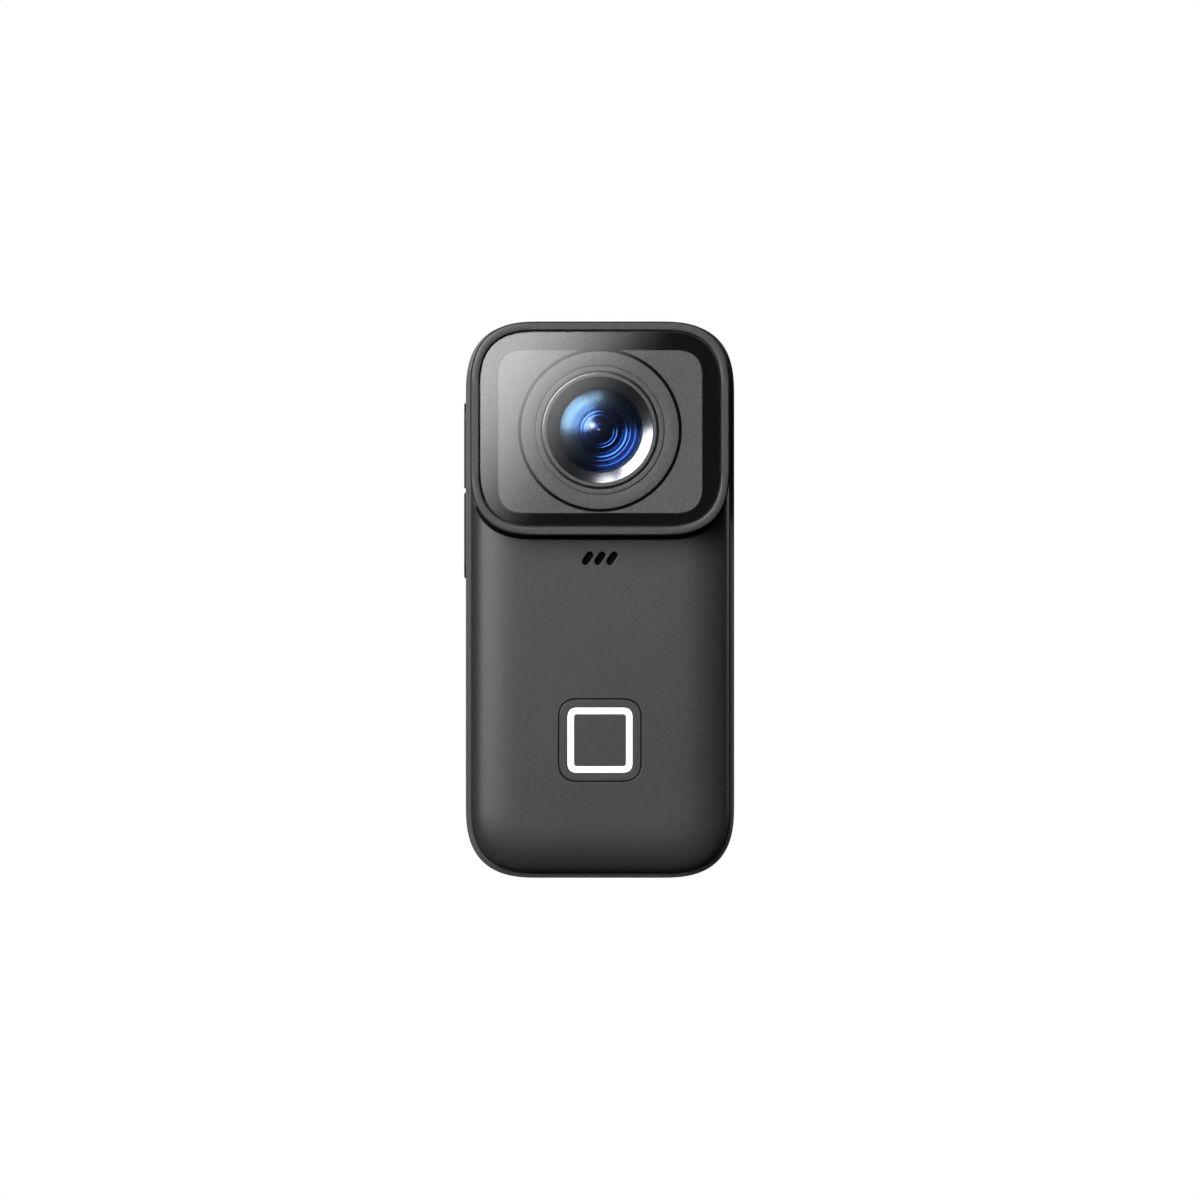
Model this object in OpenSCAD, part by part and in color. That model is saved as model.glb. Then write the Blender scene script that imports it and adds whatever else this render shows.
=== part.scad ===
// Thumb-size action camera, millimetres.
// +X is right as seen from the front, the lens looks along -Y, +Z is up.
// The origin is the mouth of the tripod socket, in the middle of the underside.

/* [Body] */
// width of the middle frame
body_w = 30.0; // [29.6:0.1:30.6]
// height of the middle frame
body_h = 62.1; // [61.8:0.1:62.8]
// size of the four soft corners
corner_size = 8.3; // [7.6:0.1:8.8]
// squareness of the corners (2 is a circle)
corner_power = 2.75; // [2.4:0.05:3.2]
// half depth of the body, front face to middle
half_depth = 8.75; // [8.6:0.05:9.0]
// wall of the middle frame
frame_wall = 1.2; // [1.1:0.05:1.25]
// how far the soft edge of the front cover reaches in
front_crown = 6.0; // [5.0:0.1:6.2]
// how far the soft edge of the back cover reaches in
back_crown = 3.2; // [2.4:0.1:3.6]

/* [Lens block] */
// how far the block stands proud of the front face
block_rise = 3.8; // [3.4:0.1:4.4]
// bottom edge of the block above the base
block_z0 = 38.24; // [38.0:0.02:38.6]
// width of the rim around the cover glass
rim_w = 0.79; // [0.7:0.01:0.9]
// gap between the rim and the cover glass
glass_gap = 0.18; // [0.1:0.01:0.25]
// clear window in the printed border, width
window_w = 23.0; // [22.0:0.1:23.6]
// clear window in the printed border, height
window_h = 18.4; // [18.0:0.1:18.8]
// radius of the clear front lens
lens_r = 4.75; // [4.4:0.05:4.9]
// outer radius of the lens barrel
barrel_r = 6.48; // [6.3:0.01:6.5]

/* [Shutter] */
// width of the shutter key
key_w = 9.1; // [8.8:0.05:9.3]
// height of the key centre above the base
key_z = 15.4; // [15.0:0.1:16.0]
// travel of the shutter key
key_travel = 0.3; // [0.1:0.05:0.3]

/* [Side controls] */
// length of one side button
button_l = 9.75; // [9.4:0.05:9.85]
// width of a side button
button_w = 3.6; // [3.2:0.1:3.8]
// how far the side buttons stand proud
button_rise = 0.22; // [0.1:0.02:0.4]

/* [Port door] */
// height of the door
door_h = 19.8; // [19.0:0.1:19.9]
// radius of the hinge knuckles
knuckle_r = 0.95; // [0.85:0.01:0.95]
// radius of the hinge pin
pin_r = 0.4; // [0.35:0.01:0.4]

/* [Tripod socket] */
// radius of the threaded bore at the thread crests
socket_r = 2.6; // [2.5:0.05:2.7]
// depth of the threaded bore
socket_l = 5.5; // [5.0:0.1:5.8]

/* [Hidden] */
$fn = 64;
steps = 9;
front_y = -half_depth;
back_y = half_depth;
split_f = -6.2;
split_b = 6.4;
body_zc = body_h / 2;
cover_inset = 0.55;
inner_w = body_w - 2 * frame_wall;
inner_h = body_h - 2 * frame_wall;
inner_a = corner_size - frame_wall;
cover_w = body_w - 2 * cover_inset;
cover_h = body_h - 2 * cover_inset;
cover_a = corner_size - cover_inset;
cover_t = 1.5;
cavity_y = front_y + cover_t;
ledge_y = -7.6;
block_y = front_y - block_rise;
block_w = body_w - 1.08;
block_h = body_h - block_z0;
block_a = 7.8;
block_zc = block_z0 + block_h / 2;
skirt_z = 46.2;
glass_y = block_y + 0.2;
glass_t = 1.0;
glass_w = block_w - 2 * (rim_w + glass_gap);
glass_h = block_h - 2 * (rim_w + glass_gap) - 0.1;
glass_a = block_a - rim_w - glass_gap;
border_t = 0.3;
plate_y = glass_y + glass_t + border_t;
plate_t = 0.5;
lens_z = 50.0;
pocket_y = plate_y + plate_t;
wall_x = body_w / 2;
split_z = 43.3;
button_gap = 0.15;
flange_x = -wall_x + frame_wall + 0.05;
door_zc = 36.0;
door_x = wall_x - 1.3;
hinge_x = wall_x - 1.0;
hinge_y = 4.2;
knuckle_l = 2.9;
usb_y = -1.9;
usb_zc = 36.0;
card_y = 1.75;
card_zc = 35.5;
screw_x = body_w / 2 - 4.1;
screw_z = [5.6, body_h - 5.6];
board_screw_x = 11.6;
board_screw_z = [13.0, 50.0];
board_y = 2.6;
board_t = 0.8;
screen_w = 20.4;
screen_h = 36.0;
screen_zc = 33.0;
screen_rim = 0.7;
tongue_w = block_w - 2.3;
tongue_h = block_h - 2.3;
tongue_a = block_a - 1.15;

// ---------- shared shapes ----------

// points of a rectangle with soft corners, size w by h, around the origin
function outline(w, h, a, n = corner_power) = [
    for (q = [0:3])
        for (i = [0:steps])
            let (t = 90 * (q + i / steps))
            let (sx = (q == 0 || q == 3) ? 1 : -1)
            let (sy = (q < 2) ? 1 : -1)
            [
                sx * (w / 2 - a + a * pow(abs(cos(t)), 2 / n)),
                sy * (h / 2 - a + a * pow(abs(sin(t)), 2 / n))
            ]
];

// a soft-cornered plate that faces the front, from y0 back to y1, centred at height z
module slab(w, h, a, y0, y1, z, n = corner_power) {
    translate([0, y1, z])
        rotate([90, 0, 0])
            linear_extrude(y1 - y0)
                polygon(outline(w, h, a, n));
}

// a body lofted through rings of [y, inset], listed from back to front
module loft(w, h, a, rings, z) {
    count = 4 * (steps + 1);
    last = len(rings) - 1;
    points = [
        for (r = rings)
            for (p = outline(w - 2 * r[1], h - 2 * r[1], a - r[1]))
                [p[0], r[0], z + p[1]]
    ];
    sides = [
        for (r = [0:last - 1])
            for (i = [0:count - 1])
                let (j = (i + 1) % count)
                let (b = r * count)
                let (t = b + count)
                for (f = [[b + i, t + i, t + j], [b + i, t + j, b + j]])
                    f
    ];
    back_cap = [for (i = [0:count - 1]) i];
    front_cap = [for (i = [count - 1:-1:0]) last * count + i];
    polyhedron(points, concat([back_cap], sides, [front_cap]), convexity = 4);
}

// a block between two corners
module block(low, high) {
    translate(low)
        cube(high - low);
}

// a round bar along Y
module bar_y(r, y0, y1, x, z) {
    translate([x, y1, z])
        rotate([90, 0, 0])
            cylinder(r = r, h = y1 - y0);
}

// a round bar along X
module bar_x(r, x0, x1, y, z) {
    translate([x0, y, z])
        rotate([0, 90, 0])
            cylinder(r = r, h = x1 - x0);
}

// a round bar along Z
module bar_z(r, z0, z1, x, y) {
    translate([x, y, z0])
        cylinder(r = r, h = z1 - z0);
}

// a soft-cornered plate that faces sideways, from x0 to x1, centred at [y, z]
module side_slab(w, h, a, x0, x1, y, z, n = corner_power) {
    translate([x0, y, z])
        rotate([90, 0, 90])
            linear_extrude(x1 - x0)
                polygon(outline(w, h, a, n));
}

// a ring-shaped solid around the lens axis, from a profile of [radius, y] points
module turned(profile) {
    translate([0, 0, lens_z])
        rotate([90, 0, 0])
            rotate_extrude()
                polygon([for (p = profile) [p[0], -p[1]]]);
}

// a plate seen from the side, long in z, with round ends, from x0 to x1
module side_pill(w, l, x0, x1, y, z) {
    block([x0, y - w / 2, z - l / 2 + w / 2], [x1, y + w / 2, z + l / 2 - w / 2]);
    for (end = [-1, 1])
        bar_x(w / 2, x0, x1, y, z + end * (l / 2 - w / 2));
}

// soft edge of a cover: a quarter of a superellipse, from the split to the face
function crown(y_split, y_face, reach, power) = [
    for (i = [0:6])
        let (up = pow(sin(15 * i), 2 / power))
        let (back = pow(abs(cos(15 * i)), 2 / power))
        [y_split + (y_face - y_split) * up, reach * (1 - back)]
];

// ---------- covers and frame ----------

module mic_slot(x, y0, y1) {
    translate([x, 0, 35.7])
        rotate([0, 35, 0]) {
            block([-0.39, y0, -0.41], [0.39, y1, 0.41]);
            for (end = [-1, 1])
                bar_y(0.39, y0, y1, 0, end * 0.41);
        }
}

// the groove or the ring of a seal around the tube that plugs into the middle frame
module seal_ring(outer, inner, y0, y1) {
    difference() {
        slab(inner_w - outer, inner_h - outer, inner_a - outer / 2, y0, y1, body_zc);
        slab(inner_w - inner, inner_h - inner, inner_a - inner / 2, y0 - 1, y1 + 1, body_zc);
    }
}

module front_cover() {
    color([0.42, 0.42, 0.43])
    difference() {
        union() {
            difference() {
                union() {
                    loft(
                        cover_w, cover_h, cover_a,
                        crown(split_f, front_y, front_crown, 3), body_zc
                    );
                    slab(inner_w - 0.2, inner_h - 0.2, inner_a - 0.1, split_f, -4.7, body_zc);
                }
                intersection() {
                    slab(inner_w - 1.8, inner_h - 1.8, inner_a - 0.9, cavity_y, -4, body_zc);
                    block([-20, cavity_y, -1], [20, -4, 37.9]);
                }
                slab(inner_w - 1.8, inner_h - 1.8, inner_a - 0.9, -6.4, -4, body_zc);
            }
            for (sx = [-1, 1]) {
                for (z = screw_z)
                    bar_y(1.9, -6.9, -4.5, sx * screw_x, z);
                for (sz = [-1, 1])
                    bar_y(0.9, cavity_y - 0.1, -5.3, sx * 8.4, key_z + sz * 4.6);
            }
        }
        slab(block_w + 0.1, block_h + 0.55, block_a, -20, ledge_y, block_zc - 0.225);
        difference() {
            block([-20, -9, skirt_z], [20, split_f, 80]);
            slab(tongue_w, tongue_h, tongue_a, -10, 0, block_zc);
        }
        bar_y(8.0, -10, 0, 0, lens_z);
        slab(key_w + 0.32, key_w + 0.32, 2.25, -10, -6, key_z, 2.4);
        for (i = [-1:1])
            mic_slot(i * 1.35, -10, -6);
        for (sx = [-1, 1])
            for (z = screw_z)
                bar_y(0.72, -6.2, -4, sx * screw_x, z);
        seal_ring(-0.4, 1.0, -5.7, -5.2);
    }
}

module mid_frame() {
    color([0.36, 0.36, 0.37])
    difference() {
        union() {
            difference() {
                loft(
                    body_w, body_h, corner_size,
                    [
                        [split_b, 0.12], [split_b - 0.12, 0],
                        [split_f + 0.12, 0], [split_f, 0.12]
                    ],
                    body_zc
                );
                slab(inner_w, inner_h, inner_a, -10, 10, body_zc);
            }
            for (sx = [-1, 1])
                for (z = screw_z)
                    bar_y(2.75, -4.45, 4.85, sx * screw_x, z);
            block([-5.6, -4.6, 0.6], [5.6, 4.8, socket_l + 1.4]);
            block([wall_x - 3.1, -4.7, 25.5], [wall_x - 1.1, 3.0, 46.5]);
            block([wall_x - 2.8, 2.8, 25.5], [wall_x - 1.1, 5.4, 46.5]);
        }
        bar_z(4.2, -1, socket_l, 0, 0);
        for (sx = [-1, 1])
            for (z = screw_z)
                bar_y(0.8, -5, 5, sx * screw_x, z);
        side_pill(button_w + 0.3, 2 * button_l + button_gap + 0.3, -wall_x - 1, -wall_x + 2, 0, split_z);
        for (i = [-2:2])
            bar_z(0.4, body_h - 2, body_h + 1, i * 2, 3.3);
        difference() {
            side_slab(12.2, door_h + 0.2, 1.35, door_x - 0.05, wall_x + 1, 1.4, door_zc);
            block([0, 3.1, 0], [20, 10, 60]);
        }
        side_slab(6.4, 15.0, 1.4, door_x - 1.0, door_x, -0.9, door_zc);
        side_pill(3.32, 9.06, wall_x - 4, door_x - 0.9, usb_y, usb_zc);
        block([wall_x - 4, card_y - 0.5, card_zc - 5.65], [door_x - 0.9, card_y + 0.5, card_zc + 5.65]);
        difference() {
            block([wall_x - 2.1, 3.0, door_zc - 10], [wall_x + 1, 5.25, door_zc + 10]);
            for (end = [-1, 1])
                frame_knuckle(end);
        }
        bar_z(pin_r + 0.02, door_zc - 9.9, door_zc + 9.9, hinge_x, hinge_y);
    }
}

// the fixed knuckle at one end of the door
module frame_knuckle(end) {
    z0 = (end < 0) ? door_zc - 10.5 : door_zc + 10.5 - knuckle_l - 0.6;
    z1 = z0 + knuckle_l + 0.6;
    bar_z(knuckle_r, z0, z1, hinge_x, hinge_y);
    block([wall_x - 3, hinge_y - knuckle_r, z0], [hinge_x, 5.4, z1]);
}

module back_cover() {
    color([0.42, 0.42, 0.43])
    difference() {
        union() {
            difference() {
                union() {
                    mirror([0, 1, 0])
                        loft(
                            cover_w, cover_h, cover_a,
                            crown(-split_b, -back_y, back_crown, 2), body_zc
                        );
                    slab(inner_w - 0.2, inner_h - 0.2, inner_a - 0.1, 4.9, split_b, body_zc);
                }
                slab(inner_w - 1.8, inner_h - 1.8, inner_a - 0.9, 4, back_y - cover_t, body_zc);
            }
            for (sx = [-1, 1]) {
                for (z = screw_z)
                    bar_y(1.9, 4.9, 7.6, sx * screw_x, z);
                for (z = board_screw_z)
                    bar_y(1.2, board_y + board_t, 7.4, sx * board_screw_x, z);
            }
        }
        block([11.9, 4.8, 25.2], [14.2, 5.5, 46.8]);
        slab(
            screen_w + 2 * screen_rim + 0.2, screen_h + 2 * screen_rim + 0.2, 2.4,
            back_y - 1.15, back_y + 1, screen_zc
        );
        slab(screen_w + 0.2, screen_h + 0.2, 1.6, 4, back_y, screen_zc);
        bar_y(0.7, 5, 10, 0, 55.6);
        for (sx = [-1, 1]) {
            for (z = screw_z) {
                bar_y(0.8, 4, 9, sx * screw_x, z);
                bar_y(1.4, 7.6, 10, sx * screw_x, z);
            }
            for (z = board_screw_z)
                bar_y(0.5, 3, 6.6, sx * board_screw_x, z);
        }
        seal_ring(-0.4, 1.0, 5.7, 6.2);
    }
}

module front_seal() {
    color([0.05, 0.05, 0.05])
    seal_ring(0.04, 0.98, -5.68, -5.22);
}

module back_seal() {
    color([0.05, 0.05, 0.05])
    seal_ring(0.04, 0.98, 5.72, 6.18);
}

module case_screws() {
    color([0.3, 0.3, 0.32])
    for (sx = [-1, 1])
        for (z = screw_z)
            difference() {
                union() {
                    bar_y(1.25, 7.6, 8.3, sx * screw_x, z);
                    bar_y(0.7, -6.0, 7.7, sx * screw_x, z);
                }
                translate([sx * screw_x, 8.4, z])
                    rotate([90, 0, 0])
                        cylinder(r = 0.62, h = 0.5, $fn = 6);
            }
}

module tripod_insert() {
    color([0.72, 0.6, 0.35])
    difference() {
        bar_z(4.2, 0, socket_l, 0, 0);
        bar_z(socket_r, -1, socket_l + 1, 0, 0);
        difference() {
            bar_z(4.5, 2.2, 3.2, 0, 0);
            bar_z(3.9, 2, 3.4, 0, 0);
        }
    }
}

module status_light_pipe() {
    color([0.9, 0.9, 0.88])
    bar_y(0.68, 7.0, back_y, 0, 55.6);
}

// ---------- lens block ----------

module lens_bezel() {
    color([0.4, 0.4, 0.41])
    difference() {
        loft(
            block_w, block_h, block_a,
            [
                [split_f - 0.05, 0], [block_y + 0.3, 0],
                [block_y + 0.09, 0.07], [block_y, 0.24]
            ],
            block_zc
        );
        block([-20, ledge_y, -1], [20, 0, skirt_z + 0.1]);
        slab(tongue_w + 0.1, tongue_h + 0.1, tongue_a, ledge_y, 0, block_zc);
        slab(
            block_w - 2 * rim_w, block_h - 2 * rim_w, block_a - rim_w,
            -20, pocket_y, block_zc
        );
        slab(24.4, 19.6, 5.6, -20, 0, block_zc);
    }
}

// black strip that fills the step under the lens block
module block_gasket() {
    color([0.03, 0.03, 0.03])
    difference() {
        slab(block_w - 0.02, block_h + 0.42, block_a, front_y - 0.55, ledge_y, block_zc - 0.21);
        slab(block_w + 0.03, block_h + 0.03, block_a, -20, 0, block_zc);
        block([-20, -20, 41.5], [20, 0, 80]);
    }
}

module cover_glass() {
    color([0.2, 0.22, 0.25, 0.4])
    slab(glass_w, glass_h, glass_a, glass_y, glass_y + glass_t, block_zc);
}

module glass_border() {
    color([0.02, 0.02, 0.02])
    difference() {
        slab(
            glass_w - 0.3, glass_h - 0.3, glass_a - 0.15,
            glass_y + glass_t, plate_y, block_zc
        );
        slab(window_w, window_h, 3.4, -20, 0, lens_z - 0.1);
    }
}

module lens_faceplate() {
    color([0.3, 0.3, 0.31])
    difference() {
        slab(glass_w - 0.2, glass_h - 0.2, glass_a - 0.1, plate_y, pocket_y, block_zc);
        bar_y(9.14, -20, 0, 0, lens_z);
    }
}

module lens_dress_ring() {
    color([0.3, 0.3, 0.31])
    turned([
        [6.6, -9.9], [8.6, -9.9], [8.79, -10.1], [8.79, -10.93], [7.25, -10.93],
        [7.25, -10.8], [7.13, -10.8], [7.13, -10.93], [6.6, -10.93]
    ]);
}

module lens_retaining_ring() {
    color([0.6, 0.6, 0.62])
    turned([
        [lens_r, -9.3], [5.92, -9.3], [5.92, -10.78], [5.86, -10.8], [lens_r, -10.32]
    ]);
}

module lens_barrel() {
    color([0.12, 0.12, 0.13])
    turned([
        [barrel_r, -10.88], [5.94, -10.88], [5.94, -9.3], [4.94, -9.3], [4.94, -7.9],
        [4.3, -7.9], [4.3, -1.7], [5.9, -1.7], [5.9, -7.9], [barrel_r, -7.9]
    ]);
}

module front_lens() {
    color([0.15, 0.2, 0.35, 0.5])
    difference() {
        intersection() {
            union() {
                bar_y(4.92, -9.28, -7.9, 0, lens_z);
                bar_y(4.72, -11.2, -7.9, 0, lens_z);
            }
            translate([0, -0.35, lens_z])
                sphere(r = 10.7);
        }
        translate([0, -2.9, lens_z])
            sphere(r = 5.8);
    }
}

module middle_lens() {
    color([0.2, 0.25, 0.35, 0.5])
    intersection() {
        bar_y(4.28, -6.9, -5.4, 0, lens_z);
        translate([0, 0.9, lens_z])
            sphere(r = 7.8);
    }
}

module rear_lens() {
    color([0.2, 0.25, 0.3, 0.5])
    intersection() {
        bar_y(4.28, -3.6, -2.1, 0, lens_z);
        translate([0, -9.6, lens_z])
            sphere(r = 7.6);
    }
}

module aperture_stop() {
    color([0.05, 0.05, 0.05])
    turned([[1.9, -4.75], [2.3, -4.9], [4.28, -4.9], [4.28, -4.6], [2.3, -4.6]]);
}

module ir_filter() {
    color([0.5, 0.7, 0.75, 0.5])
    block([-4.0, -1.5, lens_z - 3.5], [4.0, -1.2, lens_z + 3.5]);
}

module lens_holder() {
    color([0.1, 0.1, 0.11])
    difference() {
        union() {
            bar_y(7.6, -9.9, -1.6, 0, lens_z);
            block([-7.9, -1.7, lens_z - 8.2], [7.9, 0.6, lens_z + 8.3]);
        }
        bar_y(6.5, -12, -7.9, 0, lens_z);
        bar_y(5.92, -8, -1.7, 0, lens_z);
        bar_y(3.3, -2, 0, 0, lens_z);
        block([-4.05, -1.5, lens_z - 3.55], [4.05, 0, lens_z + 3.55]);
        block([-5.2, -1.0, lens_z - 4.7], [5.2, 1, lens_z + 4.7]);
    }
}

module image_sensor() {
    color([0.2, 0.35, 0.3])
    difference() {
        block([-4.8, -0.7, lens_z - 4.2], [4.8, 0.6, lens_z + 4.2]);
        block([-3.9, -1, lens_z - 3.3], [3.9, -0.4, lens_z + 3.3]);
    }
}

module sensor_board() {
    color([0.05, 0.25, 0.15])
    block([-7.8, 0.6, lens_z - 8.1], [7.8, 1.4, lens_z + 8.2]);
}

module board_connector() {
    color([0.1, 0.1, 0.1])
    block([-5, 1.4, 43], [5, board_y, 46]);
}

// ---------- boards, battery and screen ----------

module main_board() {
    color([0.05, 0.25, 0.15])
    difference() {
        slab(25.4, 45.0, 2.0, board_y, board_y + board_t, 31.1);
        block([11.7, 0, 25.2], [20, 6, 46.8]);
        for (sx = [-1, 1])
            for (z = board_screw_z)
                bar_y(0.6, 0, 6, sx * board_screw_x, z);
    }
}

module board_screws() {
    color([0.7, 0.7, 0.72])
    for (sx = [-1, 1])
        for (z = board_screw_z) {
            bar_y(1.0, board_y - 0.6, board_y, sx * board_screw_x, z);
            bar_y(0.48, board_y - 0.1, 6.4, sx * board_screw_x, z);
        }
}

module processor_shield() {
    color([0.75, 0.75, 0.78])
    block([-8, board_y + board_t, 24], [8, 4.8, 42]);
}

module heat_spreader() {
    color([0.8, 0.5, 0.3])
    block([-9.4, 4.8, 22], [9.4, 5.1, 48]);
}

module wireless_module() {
    color([0.7, 0.7, 0.72])
    block([-7.5, board_y + board_t, 10.5], [7.5, 4.6, 20]);
}

module battery_cell() {
    color([0.55, 0.56, 0.58])
    slab(20.4, 20.6, 1.2, -4.6, 2.3, 18.9);
}

module battery_pad() {
    color([0.1, 0.1, 0.1])
    block([-9, 2.3, 10], [9, board_y, 28]);
}

module display_panel() {
    color([0.08, 0.08, 0.1])
    slab(screen_w, screen_h, 1.2, 5.8, back_y - 1.0, screen_zc);
}

module display_glass() {
    color([0.03, 0.03, 0.04])
    slab(
        screen_w + 2 * screen_rim, screen_h + 2 * screen_rim, 2.3,
        back_y - 1.0, back_y, screen_zc
    );
}

module display_gasket() {
    color([0.02, 0.02, 0.02])
    difference() {
        slab(
            screen_w + 2 * screen_rim, screen_h + 2 * screen_rim, 2.3,
            back_y - 1.15, back_y - 1.0, screen_zc
        );
        slab(screen_w + 0.2, screen_h + 0.2, 1.6, 5, 10, screen_zc);
    }
}

// ---------- shutter key ----------

module shutter_key() {
    color([0.42, 0.42, 0.43])
    difference() {
        union() {
            slab(key_w, key_w, 2.1, front_y, -7.1, key_z, 2.4);
            slab(key_w + 1.3, key_w + 1.3, 2.4, -7.15, -6.75, key_z, 2.4);
            bar_y(1.2, -6.8, -6.05 - key_travel, 0, key_z);
        }
        difference() {
            slab(7.58, 7.58, 1.25, -10, front_y + 0.7, key_z, 2.4);
            slab(5.73, 5.73, 0.34, -11, 0, key_z, 2.4);
        }
    }
}

module shutter_light_ring() {
    color([0.95, 0.95, 0.95])
    difference() {
        slab(7.48, 7.48, 1.2, front_y, front_y + 0.7, key_z, 2.4);
        slab(5.83, 5.83, 0.36, -11, 0, key_z, 2.4);
    }
}

module shutter_guide() {
    color([0.1, 0.1, 0.1])
    difference() {
        slab(12.9, 12.9, 3.2, cavity_y, -6.65, key_z, 2.4);
        slab(key_w + 1.6, key_w + 1.6, 2.5, -8, -6, key_z, 2.4);
    }
}

module shutter_switch() {
    color([0.8, 0.8, 0.8])
    union() {
        block([-2, -5.85, key_z - 2], [2, -5.3, key_z + 2]);
        bar_y(1.1, -6.03, -5.85, 0, key_z);
    }
}

module switch_board() {
    color([0.05, 0.25, 0.15])
    slab(19.6, 12.0, 1.4, -5.3, -4.7, key_z);
}

// ---------- side buttons ----------

// one side button; side is 1 for the upper one and -1 for the lower one
module side_button(side) {
    inner = split_z + side * button_gap / 2;
    outer = inner + side * button_l;
    low = min(inner, outer - side * button_w / 2);
    high = max(inner, outer - side * button_w / 2);
    face = -wall_x - button_rise;
    difference() {
        union() {
            block([face, -button_w / 2, low], [flange_x + 0.1, button_w / 2, high]);
            bar_x(button_w / 2, face, flange_x + 0.1, 0, outer - side * button_w / 2);
        }
        translate([face, 0, inner])
            rotate([0, 45, 0])
                cube([0.34, 6, 0.34], center = true);
        translate([face, 0, outer])
            rotate([0, 45, 0])
                cube([0.34, 6, 0.34], center = true);
    }
    block(
        [flange_x, -button_w / 2 - 0.4, min(inner + side * 0.1, outer + side * 0.4)],
        [flange_x + 0.45, button_w / 2 + 0.4, max(inner + side * 0.1, outer + side * 0.4)]
    );
    bar_x(0.8, flange_x + 0.4, flange_x + 0.6, 0, (inner + outer) / 2);
}

module power_button() {
    color([0.05, 0.05, 0.05])
    side_button(1);
}

module mode_button() {
    color([0.05, 0.05, 0.05])
    side_button(-1);
}

module side_button_bracket() {
    color([0.6, 0.6, 0.62])
    union() {
        block([-wall_x + 2.7, -1.9, 31.8], [-wall_x + 3.1, 1.9, 53.6]);
        block([-wall_x + frame_wall, -1.9, 31.8], [-wall_x + 3.0, 1.9, 32.2]);
    }
}

module side_switches() {
    color([0.8, 0.8, 0.8])
    for (side = [-1, 1])
        block(
            [-wall_x + 2.08, -1.6, split_z + side * button_l / 2 - 1.7],
            [-wall_x + 2.7, 1.6, split_z + side * button_l / 2 + 1.7]
        );
}

// ---------- port door and sockets ----------

module port_door() {
    color([0.38, 0.38, 0.39])
    difference() {
        union() {
            difference() {
                side_slab(12, door_h, 1.3, door_x, wall_x, 1.4, door_zc);
                block([0, 3.05, 0], [20, 10, 60]);
            }
            block(
                [door_x, 3.0, door_zc - 6.9],
                [wall_x - 0.05, hinge_y, door_zc + 6.9]
            );
            bar_z(knuckle_r, door_zc - 6.9, door_zc + 6.9, hinge_x, hinge_y);
        }
        bar_z(pin_r + 0.06, 20, 60, hinge_x, hinge_y);
        block([wall_x - 0.5, -5, door_zc - 1.6], [wall_x + 1, -4.0, door_zc + 1.6]);
    }
}

module port_door_seal() {
    color([0.08, 0.08, 0.08])
    difference() {
        side_slab(6.0, 14.6, 1.3, door_x - 0.85, door_x, -0.9, door_zc);
        side_slab(4.6, 13.2, 0.9, door_x - 2, door_x + 1, -0.9, door_zc);
    }
}

module door_hinge_pin() {
    color([0.7, 0.7, 0.72])
    bar_z(pin_r, door_zc - 9.8, door_zc + 9.8, hinge_x, hinge_y);
}

module usb_socket() {
    color([0.75, 0.75, 0.77])
    union() {
        difference() {
            side_pill(3.2, 8.94, 5.2, wall_x - 2.4, usb_y, usb_zc);
            side_pill(2.6, 8.34, 6.0, wall_x, usb_y, usb_zc);
        }
        block([5.5, usb_y - 0.35, usb_zc - 3.3], [wall_x - 3.2, usb_y + 0.35, usb_zc + 3.3]);
    }
}

module port_board() {
    color([0.05, 0.25, 0.15])
    block([3.6, usb_y + 1.6, 31.4], [wall_x - 3.1, usb_y + 2.2, 40.6]);
}

module card_socket() {
    color([0.7, 0.7, 0.72])
    difference() {
        block([-1.4, 1.15, card_zc - 6], [wall_x - 3.1, board_y, card_zc + 6]);
        block([-0.4, card_y - 0.4, card_zc - 5.55], [wall_x, card_y + 0.4, card_zc + 5.55]);
    }
}

// ---------- sound ----------

module speaker() {
    color([0.15, 0.15, 0.16])
    block([-6, 1.8, 58.6], [6, 4.8, body_h - frame_wall]);
}

module microphone() {
    color([0.75, 0.72, 0.6])
    block([-2.4, -7.1, 34.5], [2.4, -6.0, 36.9]);
}

module mic_mesh() {
    color([0.03, 0.03, 0.03])
    block([-2.7, cavity_y, 34.3], [2.7, -7.1, 37.2]);
}

front_cover();
mid_frame();
back_cover();
lens_bezel();
cover_glass();
glass_border();
lens_faceplate();
lens_dress_ring();
lens_retaining_ring();
lens_barrel();
front_lens();
middle_lens();
rear_lens();
aperture_stop();
ir_filter();
lens_holder();
image_sensor();
sensor_board();
board_connector();
main_board();
processor_shield();
heat_spreader();
wireless_module();
battery_cell();
battery_pad();
display_panel();
display_glass();
display_gasket();
shutter_key();
shutter_light_ring();
shutter_guide();
shutter_switch();
switch_board();
power_button();
mode_button();
side_button_bracket();
side_switches();
port_door();
port_door_seal();
door_hinge_pin();
usb_socket();
port_board();
card_socket();
speaker();
microphone();
mic_mesh();
tripod_insert();
case_screws();
board_screws();
front_seal();
back_seal();
status_light_pipe();
block_gasket();
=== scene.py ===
"""Looks of a thumb-size action camera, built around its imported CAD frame.

Sizes in this script are millimetres and become metres when a mesh is made.
+X is right as seen from the front, the lens looks along -Y, +Z is up.
"""

import math

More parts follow.
